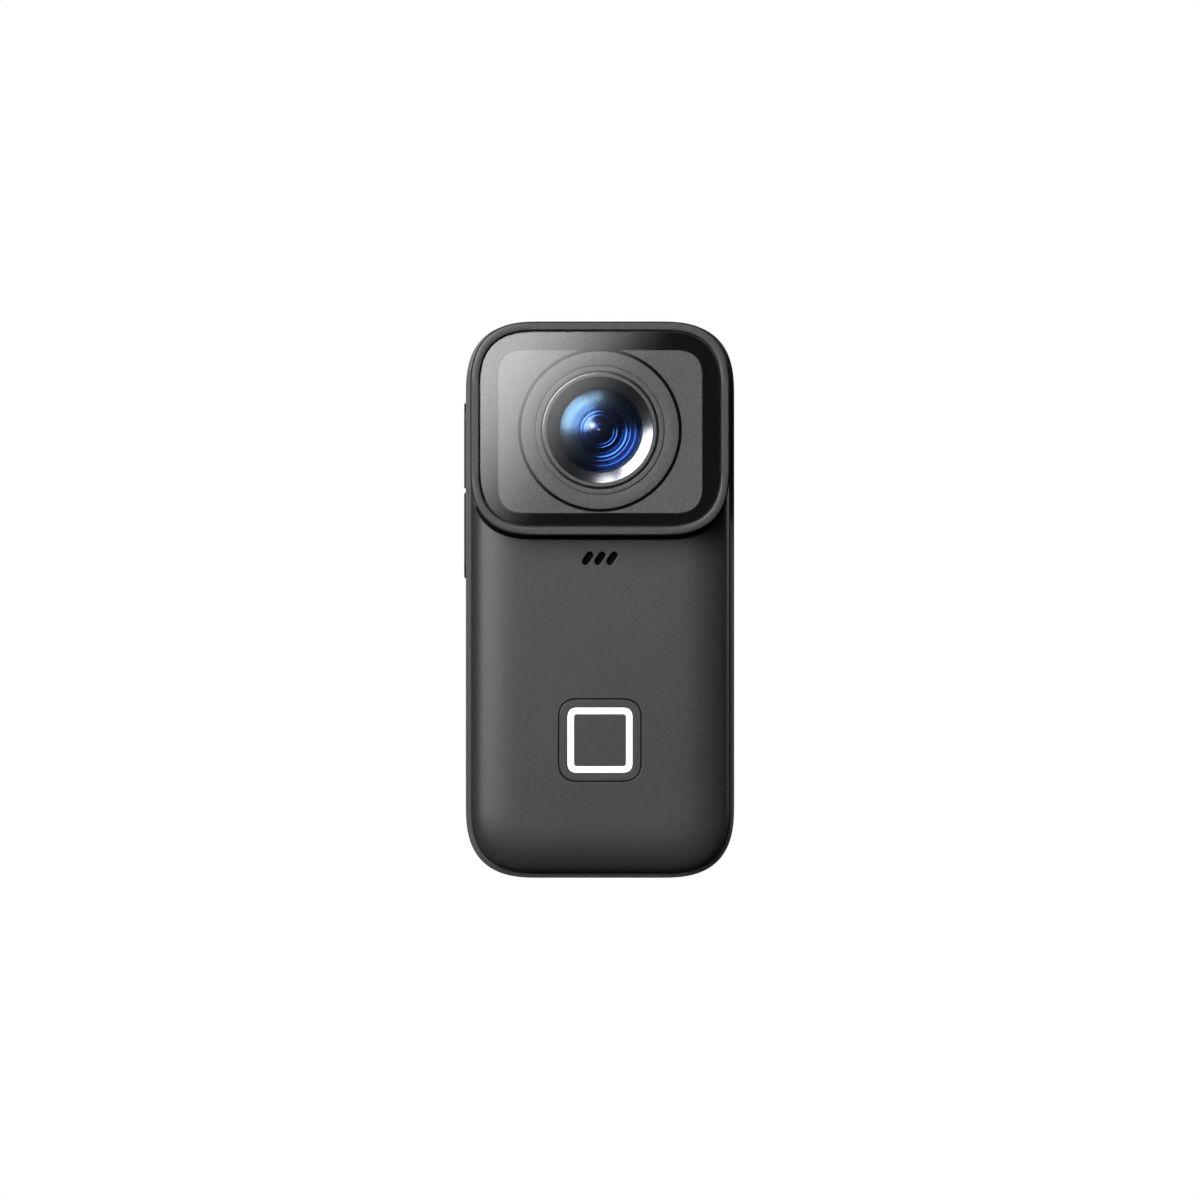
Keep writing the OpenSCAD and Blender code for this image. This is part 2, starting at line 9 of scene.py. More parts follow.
import bmesh
import bpy
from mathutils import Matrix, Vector


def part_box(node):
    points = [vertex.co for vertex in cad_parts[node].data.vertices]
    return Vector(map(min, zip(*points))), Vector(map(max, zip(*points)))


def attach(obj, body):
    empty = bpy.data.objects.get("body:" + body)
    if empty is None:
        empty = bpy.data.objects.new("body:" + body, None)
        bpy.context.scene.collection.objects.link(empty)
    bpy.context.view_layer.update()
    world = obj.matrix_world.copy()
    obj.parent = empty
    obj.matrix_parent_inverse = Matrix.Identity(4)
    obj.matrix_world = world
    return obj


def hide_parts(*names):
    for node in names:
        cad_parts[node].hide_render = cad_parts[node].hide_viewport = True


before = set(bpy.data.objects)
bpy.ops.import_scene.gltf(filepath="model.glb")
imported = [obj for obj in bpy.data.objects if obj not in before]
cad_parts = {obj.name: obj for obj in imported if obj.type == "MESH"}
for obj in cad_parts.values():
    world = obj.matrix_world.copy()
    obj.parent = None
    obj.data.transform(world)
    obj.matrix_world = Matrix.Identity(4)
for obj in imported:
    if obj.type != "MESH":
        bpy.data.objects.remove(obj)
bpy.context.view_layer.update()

MM = 0.001


# ---------- sizes taken from the frame ----------

def node_box(node):
    """Lowest and highest corner of a CAD node, in millimetres."""
    low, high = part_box(node)
    return Vector(low) / MM, Vector(high) / MM


def node_centre(node):
    low, high = node_box(node)
    return (low + high) / 2


FRAME_LOW, FRAME_HIGH = node_box("mid_frame")
BLOCK_LOW, BLOCK_HIGH = node_box("lens_bezel")
GLASS_LOW, GLASS_HIGH = node_box("cover_glass")
KEY_LOW, KEY_HIGH = node_box("shutter_key")
DOOR_LOW, DOOR_HIGH = node_box("port_door")
LENS_Z = node_centre("lens_barrel").z

CORNER_POWER = 2.75          # squareness of the soft corners
KEY_POWER = 2.4              # squareness of the shutter key's corners
FRAME_W = FRAME_HIGH.x - FRAME_LOW.x
FRAME_H = FRAME_HIGH.z - FRAME_LOW.z
FRAME_CORNER = 8.3
BODY_Z = FRAME_H / 2
COVER_INSET = 0.55
SPLIT_FRONT = FRAME_LOW.y
SPLIT_BACK = FRAME_HIGH.y
FRONT_Y = node_box("front_cover")[0].y
BACK_Y = node_box("back_cover")[1].y
BLOCK_W = BLOCK_HIGH.x - BLOCK_LOW.x
BLOCK_H = BLOCK_HIGH.z - BLOCK_LOW.z
BLOCK_Z = (BLOCK_HIGH.z + BLOCK_LOW.z) / 2
BLOCK_CORNER = 7.8
BLOCK_Y = BLOCK_LOW.y
LEDGE_Y = -7.6               # where the lens block stands on the front cover
RIM_W = 0.79                 # width of the lens block's front rim
WINDOW_W = 23.0              # clear opening in the cover glass's black border
WINDOW_H = 18.4
WINDOW_CORNER = 3.4
KEY_Z = (KEY_HIGH.z + KEY_LOW.z) / 2
KEY_W = 9.1
SLOT_Z = 35.7                # height of the three microphone slots
SLOT_STEP = 1.35
SLOT_LEAN = math.radians(35)
HINGE_X = FRAME_HIGH.x - 1.0
HINGE_Y = 4.2
KNUCKLE_R = 0.95
KNUCKLE_HALF = 6.9           # half the length of the door's own knuckle
DOOR_X = FRAME_HIGH.x - 1.3
DOOR_Z = (DOOR_LOW.z + DOOR_HIGH.z) / 2
DOOR_H = DOOR_HIGH.z - DOOR_LOW.z
FUNNEL_R = (4.72, 1.98)      # radius of the funnel behind the front lens, outside and inside
FUNNEL_Y = (-9.0, -8.1)


# ---------- mesh tools ----------

def outline(w, h, a, n=CORNER_POWER, steps=28):
    """Points of a rectangle with superelliptic corners of size a, around the origin."""
    points = []
    for quarter, (sx, sy) in enumerate([(1, 1), (-1, 1), (-1, -1), (1, -1)]):
        for i in range(steps + 1):
            t = math.radians(90) * (quarter + i / steps)
            c = abs(math.cos(t)) ** (2 / n)
            s = abs(math.sin(t)) ** (2 / n)
            points.append((sx * (w / 2 - a + a * c), sy * (h / 2 - a + a * s)))
    return points


def rounded(corners, radius, steps=3):
    """A closed profile whose corners are rounded by a radius each, or by one for all."""
    radii = radius if isinstance(radius, list) else [radius] * len(corners)
    result = []
    for i, corner in enumerate(corners):
        here = Vector(corner)
        before = Vector(corners[i - 1]) - here
        after = Vector(corners[(i + 1) % len(corners)]) - here
        reach = min(radii[i], before.length * 0.48, after.length * 0.48)
        if reach < 1e-4:
            result.append((here.x, here.y))
            continue
        first = here + before.normalized() * reach
        last = here + after.normalized() * reach
        for k in range(steps + 1):
            t = k / steps
            point = first * (1 - t) ** 2 + here * (2 * t * (1 - t)) + last * t ** 2
            result.append((point.x, point.y))
    return result


def grid_faces(rows, count, row_loop):
    """Quads between rows of points, each row closed on itself."""
    faces = []
    for r in range(rows if row_loop else rows - 1):
        a = r * count
        b = ((r + 1) % rows) * count
        for i in range(count):
            j = (i + 1) % count
            faces.append((a + i, b + i, b + j, a + j))
    return faces


def loft(name, points, count, loop):
    """A solid through rings of count points each; without a loop both ends are closed flat."""
    faces = grid_faces(len(points) // count, count, loop)
    if not loop:
        faces.append(tuple(range(count)))
        faces.append(tuple(range(len(points) - count, len(points))))
    return new_object(name, points, faces)


def new_object(name, points, faces):
    """An object in metres from millimetre points, with its normals outward."""
    mesh = bpy.data.meshes.new(name)
    mesh.from_pydata([Vector(p) * MM for p in points], [], faces)
    work = bmesh.new()
    work.from_mesh(mesh)
    bmesh.ops.remove_doubles(work, verts=work.verts, dist=1e-8)
    bmesh.ops.recalc_face_normals(work, faces=work.faces)
    work.to_mesh(mesh)
    work.free()
    obj = bpy.data.objects.new(name, mesh)
    bpy.context.scene.collection.objects.link(obj)
    return obj


def swept(name, w, h, a, profile, x=0.0, z=0.0, n=CORNER_POWER, loop=True, steps=28):
    """A solid that runs round a soft-cornered outline facing the front.

    profile holds [inset, y] points. A loop makes a frame; otherwise both ends are closed
    with a flat face, which makes a plate.
    """
    points = []
    for inset, y in profile:
        ring = outline(w - 2 * inset, h - 2 * inset, max(a - inset, 0.05), n, steps)
        points += [(x + px, y, z + pz) for px, pz in ring]
    return loft(name, points, 4 * (steps + 1), loop)


def sideways(name, w, h, a, profile, y=0.0, z=0.0, n=CORNER_POWER, steps=16):
    """A plate whose outline faces sideways; profile holds [inset, x] points."""
    points = []
    for inset, x in profile:
        ring = outline(w - 2 * inset, h - 2 * inset, max(a - inset, 0.02), n, steps)
        points += [(x, y + py, z + pz) for py, pz in ring]
    return loft(name, points, 4 * (steps + 1), False)


def turned(name, profile, x=0.0, z=LENS_Z, loop=True, segments=180):
    """A solid of revolution about an axis along Y; profile holds [radius, y] points."""
    points = []
    for r, y in profile:
        for i in range(segments):
            t = 2 * math.pi * i / segments
            points.append((x + r * math.cos(t), y, z + r * math.sin(t)))
    return loft(name, points, segments, loop)


def upright(name, profile, x, y, loop=True, segments=48):
    """A solid of revolution about an axis along Z; profile holds [radius, z] points."""
    points = []
    for r, z in profile:
        for i in range(segments):
            t = 2 * math.pi * i / segments
            points.append((x + r * math.cos(t), y + r * math.sin(t), z))
    return loft(name, points, segments, loop)


def solid_block(name, low, high):
    """A plain block, used only for cutting other shapes."""
    xs, ys, zs = zip(low, high)
    points = [(x, y, z) for x in xs for y in ys for z in zs]
    faces = [(0, 1, 3, 2), (4, 6, 7, 5), (0, 4, 5, 1), (2, 3, 7, 6), (0, 2, 6, 4), (1, 5, 7, 3)]
    return new_object(name, points, faces)


def combine(target, other, operation):
    """Applies a boolean to target and removes the other object."""
    modifier = target.modifiers.new(operation, "BOOLEAN")
    modifier.operation = operation
    modifier.solver = "EXACT"
    modifier.object = other
    graph = bpy.context.evaluated_depsgraph_get()
    result = bpy.data.meshes.new_from_object(target.evaluated_get(graph))
    target.modifiers.clear()
    old = target.data
    target.data = result
    bpy.data.meshes.remove(old)
    bpy.data.objects.remove(other)


def cut(target, *cutters):
    for cutter in cutters:
        combine(target, cutter, "DIFFERENCE")


def join(target, *others):
    for other in others:
        combine(target, other, "UNION")


def smooth(obj, angle=32):
    """Smooth faces with sharp edges kept, and normals that follow the large faces."""
    mesh = obj.data
    mesh.polygons.foreach_set("use_smooth", [True] * len(mesh.polygons))
    mesh.set_sharp_from_angle(angle=math.radians(angle))
    weighted = obj.modifiers.new("normals", "WEIGHTED_NORMAL")
    weighted.keep_sharp = True
    weighted.weight = 80


def dress(obj, material, body, replaces=(), angle=32):
    """Gives a piece its material, its body and the node it stands for."""
    obj.data.materials.clear()
    obj.data.materials.append(material)
    smooth(obj, angle)
    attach(obj, body)
    if replaces:
        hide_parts(*replaces)


# ---------- material tools ----------

def new_material(name):
    material = bpy.data.materials.new(name)
    material.use_nodes = True
    tree = material.node_tree
    tree.nodes.clear()
    output = tree.nodes.new("ShaderNodeOutputMaterial")
    return material, tree, output


def link(tree, source, target):
    tree.links.new(source, target)


def place(tree):
    """Object coordinates, which are metres in the shared frame."""
    return tree.nodes.new("ShaderNodeTexCoord").outputs["Object"]


def noise(tree, size_mm, detail=3.0, rough=0.6):
    """A noise pattern whose main features are size_mm across."""
    node = tree.nodes.new("ShaderNodeTexNoise")
    node.inputs["Scale"].default_value = 1 / (size_mm * MM)
    node.inputs["Detail"].default_value = detail
    node.inputs["Roughness"].default_value = rough
    link(tree, place(tree), node.inputs["Vector"])
    return node.outputs["Fac"]


def cells(tree, size_mm):
    """Random value per small cell, for sparkle and cast grain."""
    node = tree.nodes.new("ShaderNodeTexVoronoi")
    node.inputs["Scale"].default_value = 1 / (size_mm * MM)
    link(tree, place(tree), node.inputs["Vector"])
    return node.outputs["Color"]


def remap(tree, source, low, high, out_low, out_high):
    node = tree.nodes.new("ShaderNodeMapRange")
    node.inputs["From Min"].default_value = low
    node.inputs["From Max"].default_value = high
    node.inputs["To Min"].default_value = out_low
    node.inputs["To Max"].default_value = out_high
    link(tree, source, node.inputs["Value"])
    return node.outputs["Result"]


def blend_colour(tree, factor, first, second):
    node = tree.nodes.new("ShaderNodeMix")
    node.data_type = "RGBA"
    for side, colour in (("A", first), ("B", second)):
        if isinstance(colour, tuple):
            node.inputs[side].default_value = (*colour, 1)
        else:
            link(tree, colour, node.inputs[side])
    link(tree, factor, node.inputs["Factor"])
    return node.outputs["Result"]


def bump(tree, height, depth_mm, strength=1.0):
    node = tree.nodes.new("ShaderNodeBump")
    node.inputs["Distance"].default_value = depth_mm * MM
    node.inputs["Strength"].default_value = strength
    link(tree, height, node.inputs["Height"])
    return node.outputs["Normal"]


def shade(colour, factor):
    """The same colour, lighter or darker."""
    return tuple(c * factor for c in colour)


def mix_shaders(tree, factor, first, second):
    mix = tree.nodes.new("ShaderNodeMixShader")
    link(tree, factor, mix.inputs["Fac"])
    link(tree, first, mix.inputs[1])
    link(tree, second, mix.inputs[2])
    return mix.outputs["Shader"]


def lens_place(tree):
    """Object coordinates measured from the lens axis."""
    centred = tree.nodes.new("ShaderNodeMapping")
    centred.inputs["Location"].default_value = (0, 0, -LENS_Z * MM)
    link(tree, place(tree), centred.inputs["Vector"])
    return centred.outputs["Vector"]


def lens_radius(tree):
    """Distance from the lens axis, in metres."""
    across = tree.nodes.new("ShaderNodeVectorMath")
    across.operation = "MULTIPLY"
    across.inputs[1].default_value = (1, 0, 1)
    link(tree, lens_place(tree), across.inputs[0])
    length = tree.nodes.new("ShaderNodeVectorMath")
    length.operation = "LENGTH"
    link(tree, across.outputs["Vector"], length.inputs[0])
    return length.outputs["Value"]


def round_the_lens(tree):
    """The direction in which turned metal stretches its highlights."""
    tangent = tree.nodes.new("ShaderNodeTangent")
    tangent.direction_type = "RADIAL"
    tangent.axis = "Y"
    return tangent.outputs["Tangent"]


def principled(tree, output, **values):
    """The Principled shader; each value is set on the socket of its name or linked to it."""
    shader = tree.nodes.new("ShaderNodeBsdfPrincipled")
    for name, value in values.items():
        socket = shader.inputs[name.replace("_", " ")]
        if isinstance(value, bpy.types.NodeSocket):
            link(tree, value, socket)
        else:
            socket.default_value = value
    link(tree, shader.outputs["BSDF"], output.inputs["Surface"])


# ---------- materials ----------

def matte_plastic(name, colour, grain_mm=0.16, rough=0.38, grain_depth=0.004):
    """Moulded plastic under a satin coat, with a fine spark-eroded grain."""
    material, tree, output = new_material(name)
    grain = noise(tree, grain_mm, 4.0, 0.7)
    cloud = noise(tree, 9.0, 2.0, 0.5)
    speckle = remap(tree, grain, 0.3, 0.7, 0, 1)
    principled(
        tree, output, Specular_IOR_Level=1.0,
        Base_Color=blend_colour(tree, speckle, shade(colour, 0.62), shade(colour, 1.4)),
        Roughness=remap(tree, cloud, 0.3, 0.7, rough - 0.02, rough + 0.02),
        Normal=bump(tree, grain, grain_depth, 0.6),
    )
    return material


def satin_black(name, rough=0.38):
    material, tree, output = new_material(name)
    grain = noise(tree, 0.22, 3.0)
    tone = remap(tree, grain, 0.3, 0.7, 0, 1)
    principled(
        tree, output, Specular_IOR_Level=0.5,
        Base_Color=blend_colour(tree, tone, (0.006, 0.006, 0.007), (0.014, 0.014, 0.015)),
        Roughness=remap(tree, grain, 0.3, 0.7, rough - 0.06, rough + 0.08),
        Normal=bump(tree, grain, 0.003, 0.5),
    )
    return material


def sparkle_coat(name, colour, rough=0.42):
    """Lacquered metal with a fine blasted sparkle."""
    material, tree, output = new_material(name)
    flakes = remap(tree, cells(tree, 0.11), 0, 1, 0, 1)
    grain = noise(tree, 0.09, 3.0)
    principled(
        tree, output, Metallic=0.1, Specular_IOR_Level=0.4,
        Base_Color=blend_colour(tree, flakes, shade(colour, 0.7), shade(colour, 1.3)),
        Roughness=remap(tree, grain, 0.3, 0.7, rough - 0.08, rough + 0.1),
        Normal=bump(tree, grain, 0.004, 0.6),
    )
    return material


def turned_metal(name, colour, rough=0.16, aniso=0.6):
    """Metal with the fine circular marks of a lathe around the lens axis."""
    material, tree, output = new_material(name)
    rings = tree.nodes.new("ShaderNodeTexWave")
    rings.wave_type = "RINGS"
    rings.rings_direction = "Y"
    rings.inputs["Scale"].default_value = 1 / (0.35 * MM)
    rings.inputs["Distortion"].default_value = 1.5
    rings.inputs["Detail"].default_value = 3.0
    link(tree, lens_place(tree), rings.inputs["Vector"])
    mark = rings.outputs["Fac"]
    principled(
        tree, output, Metallic=1.0, Anisotropic=aniso, Specular_IOR_Level=0.5,
        Tangent=round_the_lens(tree),
        Base_Color=blend_colour(tree, mark, shade(colour, 0.92), colour),
        Roughness=remap(tree, mark, 0, 1, rough - 0.03, rough + 0.05),
        Normal=bump(tree, mark, 0.001, 0.15),
    )
    return material


def slant_share(tree, straight, steep=1.0):
    """Share of light a surface mirrors: straight on, rising to steep at a grazing view."""
    facing = tree.nodes.new("ShaderNodeLayerWeight")
    facing.inputs["Blend"].default_value = 0.5
    curve = tree.nodes.new("ShaderNodeMath")
    curve.operation = "POWER"
    curve.inputs[1].default_value = 5.0
    link(tree, facing.outputs["Facing"], curve.inputs[0])
    return remap(tree, curve.outputs["Value"], 0, 1, straight, steep)


def clear_glass(name, tint, mirror, straight=0.08, rough=0.02):
    """Coated glass: it lets light through and mirrors a share, more at a slant."""
    material, tree, output = new_material(name)
    through = tree.nodes.new("ShaderNodeBsdfTransparent")
    through.inputs["Color"].default_value = (*tint, 1)
    shine = tree.nodes.new("ShaderNodeBsdfAnisotropic")
    shine.inputs["Color"].default_value = (*mirror, 1)
    smear = noise(tree, 5.0, 2.0)
    link(tree, remap(tree, smear, 0.3, 0.7, rough, rough + 0.01), shine.inputs["Roughness"])
    mix = mix_shaders(
        tree, slant_share(tree, straight), through.outputs["BSDF"], shine.outputs["BSDF"],
    )
    link(tree, mix, output.inputs["Surface"])
    return material


def coated_lens(name):
    """The front lens: a blue coating that pales towards the rim, with faint rings in it."""
    material, tree, output = new_material(name)
    radius = lens_radius(tree)
    stops = [
        (0.0, (0.10, 0.16, 0.6)), (0.36, (0.10, 0.22, 0.9)), (0.5, (0.05, 0.14, 0.62)),
        (0.58, (0.22, 0.55, 1.0)), (0.62, (0.12, 0.38, 0.95)), (0.74, (0.42, 0.78, 1.0)),
        (0.86, (0.3, 0.6, 0.9)), (1.0, (0.05, 0.12, 0.3)),
    ]
    ramp = tree.nodes.new("ShaderNodeValToRGB")
    while len(ramp.color_ramp.elements) < len(stops):
        ramp.color_ramp.elements.new(0.5)
    for element, (position, colour) in zip(ramp.color_ramp.elements, stops):
        element.position = position
        element.color = (*colour, 1)
    link(tree, remap(tree, radius, 0, 4.75 * MM, 0, 1), ramp.inputs["Fac"])
    through = tree.nodes.new("ShaderNodeBsdfTransparent")
    through.inputs["Color"].default_value = (0.9, 0.94, 1.0, 1)
    glow = tree.nodes.new("ShaderNodeBsdfAnisotropic")
    glow.inputs["Roughness"].default_value = 0.24
    link(tree, ramp.outputs["Color"], glow.inputs["Color"])
    crisp = tree.nodes.new("ShaderNodeBsdfAnisotropic")
    crisp.inputs["Roughness"].default_value = 0.03
    crisp.inputs["Color"].default_value = (0.55, 0.78, 1.0, 1)
    share = remap(tree, radius, 1.2 * MM, 3.4 * MM, 0.12, 0.2)
    coat = mix_shaders(tree, share, through.outputs["BSDF"], glow.outputs["BSDF"])
    spark = remap(tree, radius, 1.5 * MM, 2.1 * MM, 0.16, 0.012)
    link(tree, mix_shaders(tree, spark, coat, crisp.outputs["BSDF"]), output.inputs["Surface"])
    return material


def spun_coating(name, colour, rough=0.3, aniso=0.9):
    """The ringed inside of the lens, darker at its outer edge in the retaining ring's shade: painted
    shade.
    """
    material, tree, output = new_material(name)
    radius = lens_radius(tree)
    rings = tree.nodes.new("ShaderNodeTexNoise")
    rings.noise_dimensions = "1D"
    rings.inputs["Scale"].default_value = 1 / (0.22 * MM)
    rings.inputs["Detail"].default_value = 3.0
    link(tree, radius, rings.inputs["W"])
    bright = remap(tree, rings.outputs["Fac"], 0.4, 0.62, 0, 1)
    ringed = blend_colour(tree, bright, shade(colour, 0.25), colour)
    # Painted shade: the colour darkens beyond 4 mm from the axis, next to the retaining ring.
    edge = remap(tree, radius, 4.0 * MM, 4.5 * MM, 0, 1)
    principled(
        tree, output, Metallic=1.0, Roughness=rough, Anisotropic=aniso,
        Tangent=round_the_lens(tree),
        Base_Color=blend_colour(tree, edge, ringed, shade(colour, 0.12)),
    )
    return material


def glowing_white(name, strength):
    """A white light guide, lit evenly with a faint frosted texture."""
    material, tree, output = new_material(name)
    frost = noise(tree, 0.3, 3.0)
    share = remap(tree, frost, 0.3, 0.7, 0, 1)
    tone = blend_colour(tree, share, (0.86, 0.87, 0.88), (0.95, 0.95, 0.95))
    principled(
        tree, output, Emission_Strength=strength, Roughness=0.4,
        Base_Color=tone, Emission_Color=tone, Normal=bump(tree, frost, 0.002, 0.4),
    )
    return material


def printed_black(name):
    material, tree, output = new_material(name)
    dots = noise(tree, 0.4, 2.0)
    principled(
        tree, output, Specular_IOR_Level=0.08, Roughness=0.3,
        Base_Color=blend_colour(tree, dots, (0.0035, 0.0035, 0.004), (0.0055, 0.0055, 0.006)),
    )
    return material


def polished_black(name):
    """Black glass over a dark panel."""
    material, tree, output = new_material(name)
    smear = noise(tree, 6.0, 3.0)
    principled(
        tree, output, Specular_IOR_Level=0.5, Coat_Weight=1.0, Coat_Roughness=0.03,
        Base_Color=blend_colour(tree, smear, (0.006, 0.006, 0.008), (0.01, 0.01, 0.012)),
        Roughness=remap(tree, smear, 0.3, 0.7, 0.05, 0.11),
    )
    return material


def plain_metal(name, colour, rough=0.3):
    """Drawn or rolled metal with fine scratches and stains."""
    material, tree, output = new_material(name)
    stain = remap(tree, noise(tree, 1.6, 4.0), 0.3, 0.7, 0, 1)
    scratch = noise(tree, 0.12, 2.0)
    principled(
        tree, output, Metallic=1.0,
        Base_Color=blend_colour(tree, stain, shade(colour, 0.8), colour),
        Roughness=remap(tree, scratch, 0.3, 0.7, rough - 0.08, rough + 0.1),
        Normal=bump(tree, scratch, 0.002, 0.4),
    )
    return material


def soft_rubber(name, colour=(0.012, 0.012, 0.013), shine=0.35):
    material, tree, output = new_material(name)
    dust = noise(tree, 0.5, 4.0)
    pale = remap(tree, dust, 0.4, 0.7, 0, 1)
    principled(
        tree, output, Specular_IOR_Level=shine,
        Base_Color=blend_colour(tree, pale, colour, shade(colour, 1.8)),
        Roughness=remap(tree, dust, 0.3, 0.7, 0.62, 0.8),
        Normal=bump(tree, noise(tree, 0.1), 0.004, 0.5),
    )
    return material


def circuit_green(name):
    """Solder mask with faint traces under it."""
    material, tree, output = new_material(name)
    traces = tree.nodes.new("ShaderNodeTexBrick")
    traces.inputs["Scale"].default_value = 1 / (3.0 * MM)
    traces.inputs["Color1"].default_value = (0.012, 0.075, 0.045, 1)
    traces.inputs["Color2"].default_value = (0.01, 0.06, 0.036, 1)
    traces.inputs["Mortar"].default_value = (0.03, 0.14, 0.08, 1)
    link(tree, place(tree), traces.inputs["Vector"])
    principled(
        tree, output, Specular_IOR_Level=0.5, Roughness=0.35,
        Base_Color=traces.outputs["Color"], Normal=bump(tree, traces.outputs["Fac"], 0.01, 0.4),
    )
    return material


SHELL = matte_plastic("shell_plastic", (0.046, 0.046, 0.047))
FRAME_PLASTIC = matte_plastic("frame_plastic", (0.06, 0.06, 0.061), 0.2, 0.36)
RIM = matte_plastic("rim_coat", (0.058, 0.058, 0.059), 0.12, 0.34, 0.002)
BUTTON = satin_black("button_black")
MOULDED = satin_black("moulded_black", 0.55)
FACEPLATE = sparkle_coat("faceplate_coat", (0.185, 0.185, 0.185))
RING_METAL = turned_metal("ring_metal", (0.62, 0.62, 0.63), 0.17, 0.2)
COVER_GLASS = clear_glass("cover_glass", (0.97, 0.97, 0.97), (1, 1, 1))
CLEAR_BACK = clear_glass("uncoated_glass", (0.97, 0.98, 1.0), (0.2, 0.2, 0.25), 0.01)
FRONT_COAT = coated_lens("front_coating")
INNER_COAT = clear_glass("inner_coating", (0.86, 0.9, 1.0), (0.22, 0.3, 1.0), 0.1, 0.08)
SPUN = spun_coating("spun_coating", (0.014, 0.03, 0.16), 0.18, 0.3)
RIDGE = spun_coating("ridge_coating", (0.1, 0.32, 1.0), 0.18, 0.0)
POLISH = plain_metal("polished_edge", (0.2, 0.2, 0.203), 0.3)
LIGHT = glowing_white("light_guide", 1.1)
LIGHT_OFF = glowing_white("light_guide_off", 0.0)
BORDER = printed_black("border_ink")
SCREEN = polished_black("screen_glass")
STEEL = plain_metal("steel", (0.56, 0.56, 0.58))
TIN = plain_metal("tinned_steel", (0.7, 0.7, 0.72), 0.35)
SCREW = plain_metal("black_steel", (0.1, 0.1, 0.105), 0.35)
BRASS = plain_metal("brass", (0.78, 0.6, 0.3), 0.25)
COPPER = plain_metal("copper", (0.8, 0.42, 0.28), 0.35)
FOIL = plain_metal("battery_foil", (0.6, 0.61, 0.63), 0.4)
RUBBER = soft_rubber("seal_rubber")
# Near-black sheet laid where there is only shade, under the lens block and in the lens groove: painted
# shade.
SHADE_BLACK = soft_rubber("painted_shade_black", (0.003, 0.003, 0.003), 0.08)
BOARD = circuit_green("circuit_board")


# ---------- covers and frame ----------

def lip(inset, y, radius, step, points=4):
    """Profile of a cutter whose opening gets a rounded edge at height y.

    step is the way into the material along y: 1 from the front, -1 from the back.
    """
    result = [(inset - radius, y - step * 0.6), (inset - radius, y + step * 0.004)]
    for k in range(1, points + 1):
        t = math.radians(90) * k / points
        result.append((inset - radius + radius * math.sin(t), y + step * radius * (1 - math.cos(t))))
    return result


def lip_round(radius, y, edge, step):
    """Cutter profile for a round hole with a rounded edge; radius is the hole's own."""
    return [(radius - inset, py) for inset, py in lip(0, y, edge, step)]


def round_edge(face, edge, way, steps=4, first=1):
    """Profile points of a quarter-round that ends at a face; way is 1 if the face looks back."""
    points = []
    for k in range(first, steps + 1):
        t = math.radians(90) * k / steps
        points.append((edge * (1 - math.cos(t)), face - way * edge + way * edge * math.sin(t)))
    return points


def crown(y_split, y_face, reach, power, points=26):
    """Soft edge of a cover, from its parting line to the flat face."""
    way = 1 if y_face > y_split else -1
    start = y_split + way * 0.1
    profile = [(0.1, y_split), (0.03, y_split + way * 0.03)]
    for k in range(points + 1):
        t = math.radians(90) * k / points
        inset = reach * (1 - abs(math.cos(t)) ** (2 / power))
        profile.append((inset, start + (y_face - start) * math.sin(t) ** (2 / power)))
    return profile


def cover_shape(name, split, face, reach, power):
    """The solid outside of a cover, a little smaller all round than the frame."""
    return swept(
        name, FRAME_W - 2 * COVER_INSET, FRAME_H - 2 * COVER_INSET, FRAME_CORNER - COVER_INSET,
        crown(split, face, reach, power), z=BODY_Z, loop=False,
    )


def slot_cutter(x):
    """One slanted microphone slot with a soft edge."""
    profile = lip(0, FRONT_Y, 0.07, 1) + [(0, 0)]
    cutter = swept("slot_cutter", 0.78, 1.6, 0.389, profile, n=2.0, steps=10, loop=False)
    turn = math.cos(SLOT_LEAN), math.sin(SLOT_LEAN)
    for vertex in cutter.data.vertices:
        px, pz = vertex.co.x, vertex.co.z
        vertex.co.x = x * MM + px * turn[0] + pz * turn[1]
        vertex.co.z = SLOT_Z * MM - px * turn[1] + pz * turn[0]
    return cutter


def key_shape(name, size, corner, profile):
    """A plate with the square outline of the shutter key."""
    return swept(name, size, size, corner, profile, z=KEY_Z, n=KEY_POWER, loop=False)


def front_cover():
    cover = cover_shape("front_shell", SPLIT_FRONT, FRONT_Y, reach=6.0, power=3.0)
    pocket = swept(
        "pocket", BLOCK_W + 0.08, BLOCK_H + 0.53, BLOCK_CORNER,
        [(0, -20), (0, LEDGE_Y)], z=BLOCK_Z - 0.225, loop=False,
    )
    above = solid_block("above", (-20, -9, 46.25), (20, SPLIT_FRONT + 1, 80))
    tongue = swept(
        "tongue", BLOCK_W - 2.4, BLOCK_H - 2.4, BLOCK_CORNER - 1.2,
        [(0, -10), (0, 0)], z=BLOCK_Z, loop=False,
    )
    cut(above, tongue)
    lens_hole = turned("lens_hole", [(8.0, -10), (8.0, 0)], loop=False)
    key_hole = key_shape("key_hole", KEY_W + 0.2, 2.2, lip(0, FRONT_Y, 0.07, 1) + [(0, 0)])
    cut(cover, pocket, above, lens_hole, key_hole)
    for i in (-1, 0, 1):
        cut(cover, slot_cutter(i * SLOT_STEP))
    dress(cover, SHELL, "camera", ["front_cover"])


def screw_places():
    """Where the case screws stand, read from the box round all four."""
    low, high = node_box("case_screws")
    head_r = 1.25
    columns = (low.x + head_r, high.x - head_r)
    rows = (low.z + head_r, high.z - head_r)
    return [(x, z) for x in columns for z in rows]


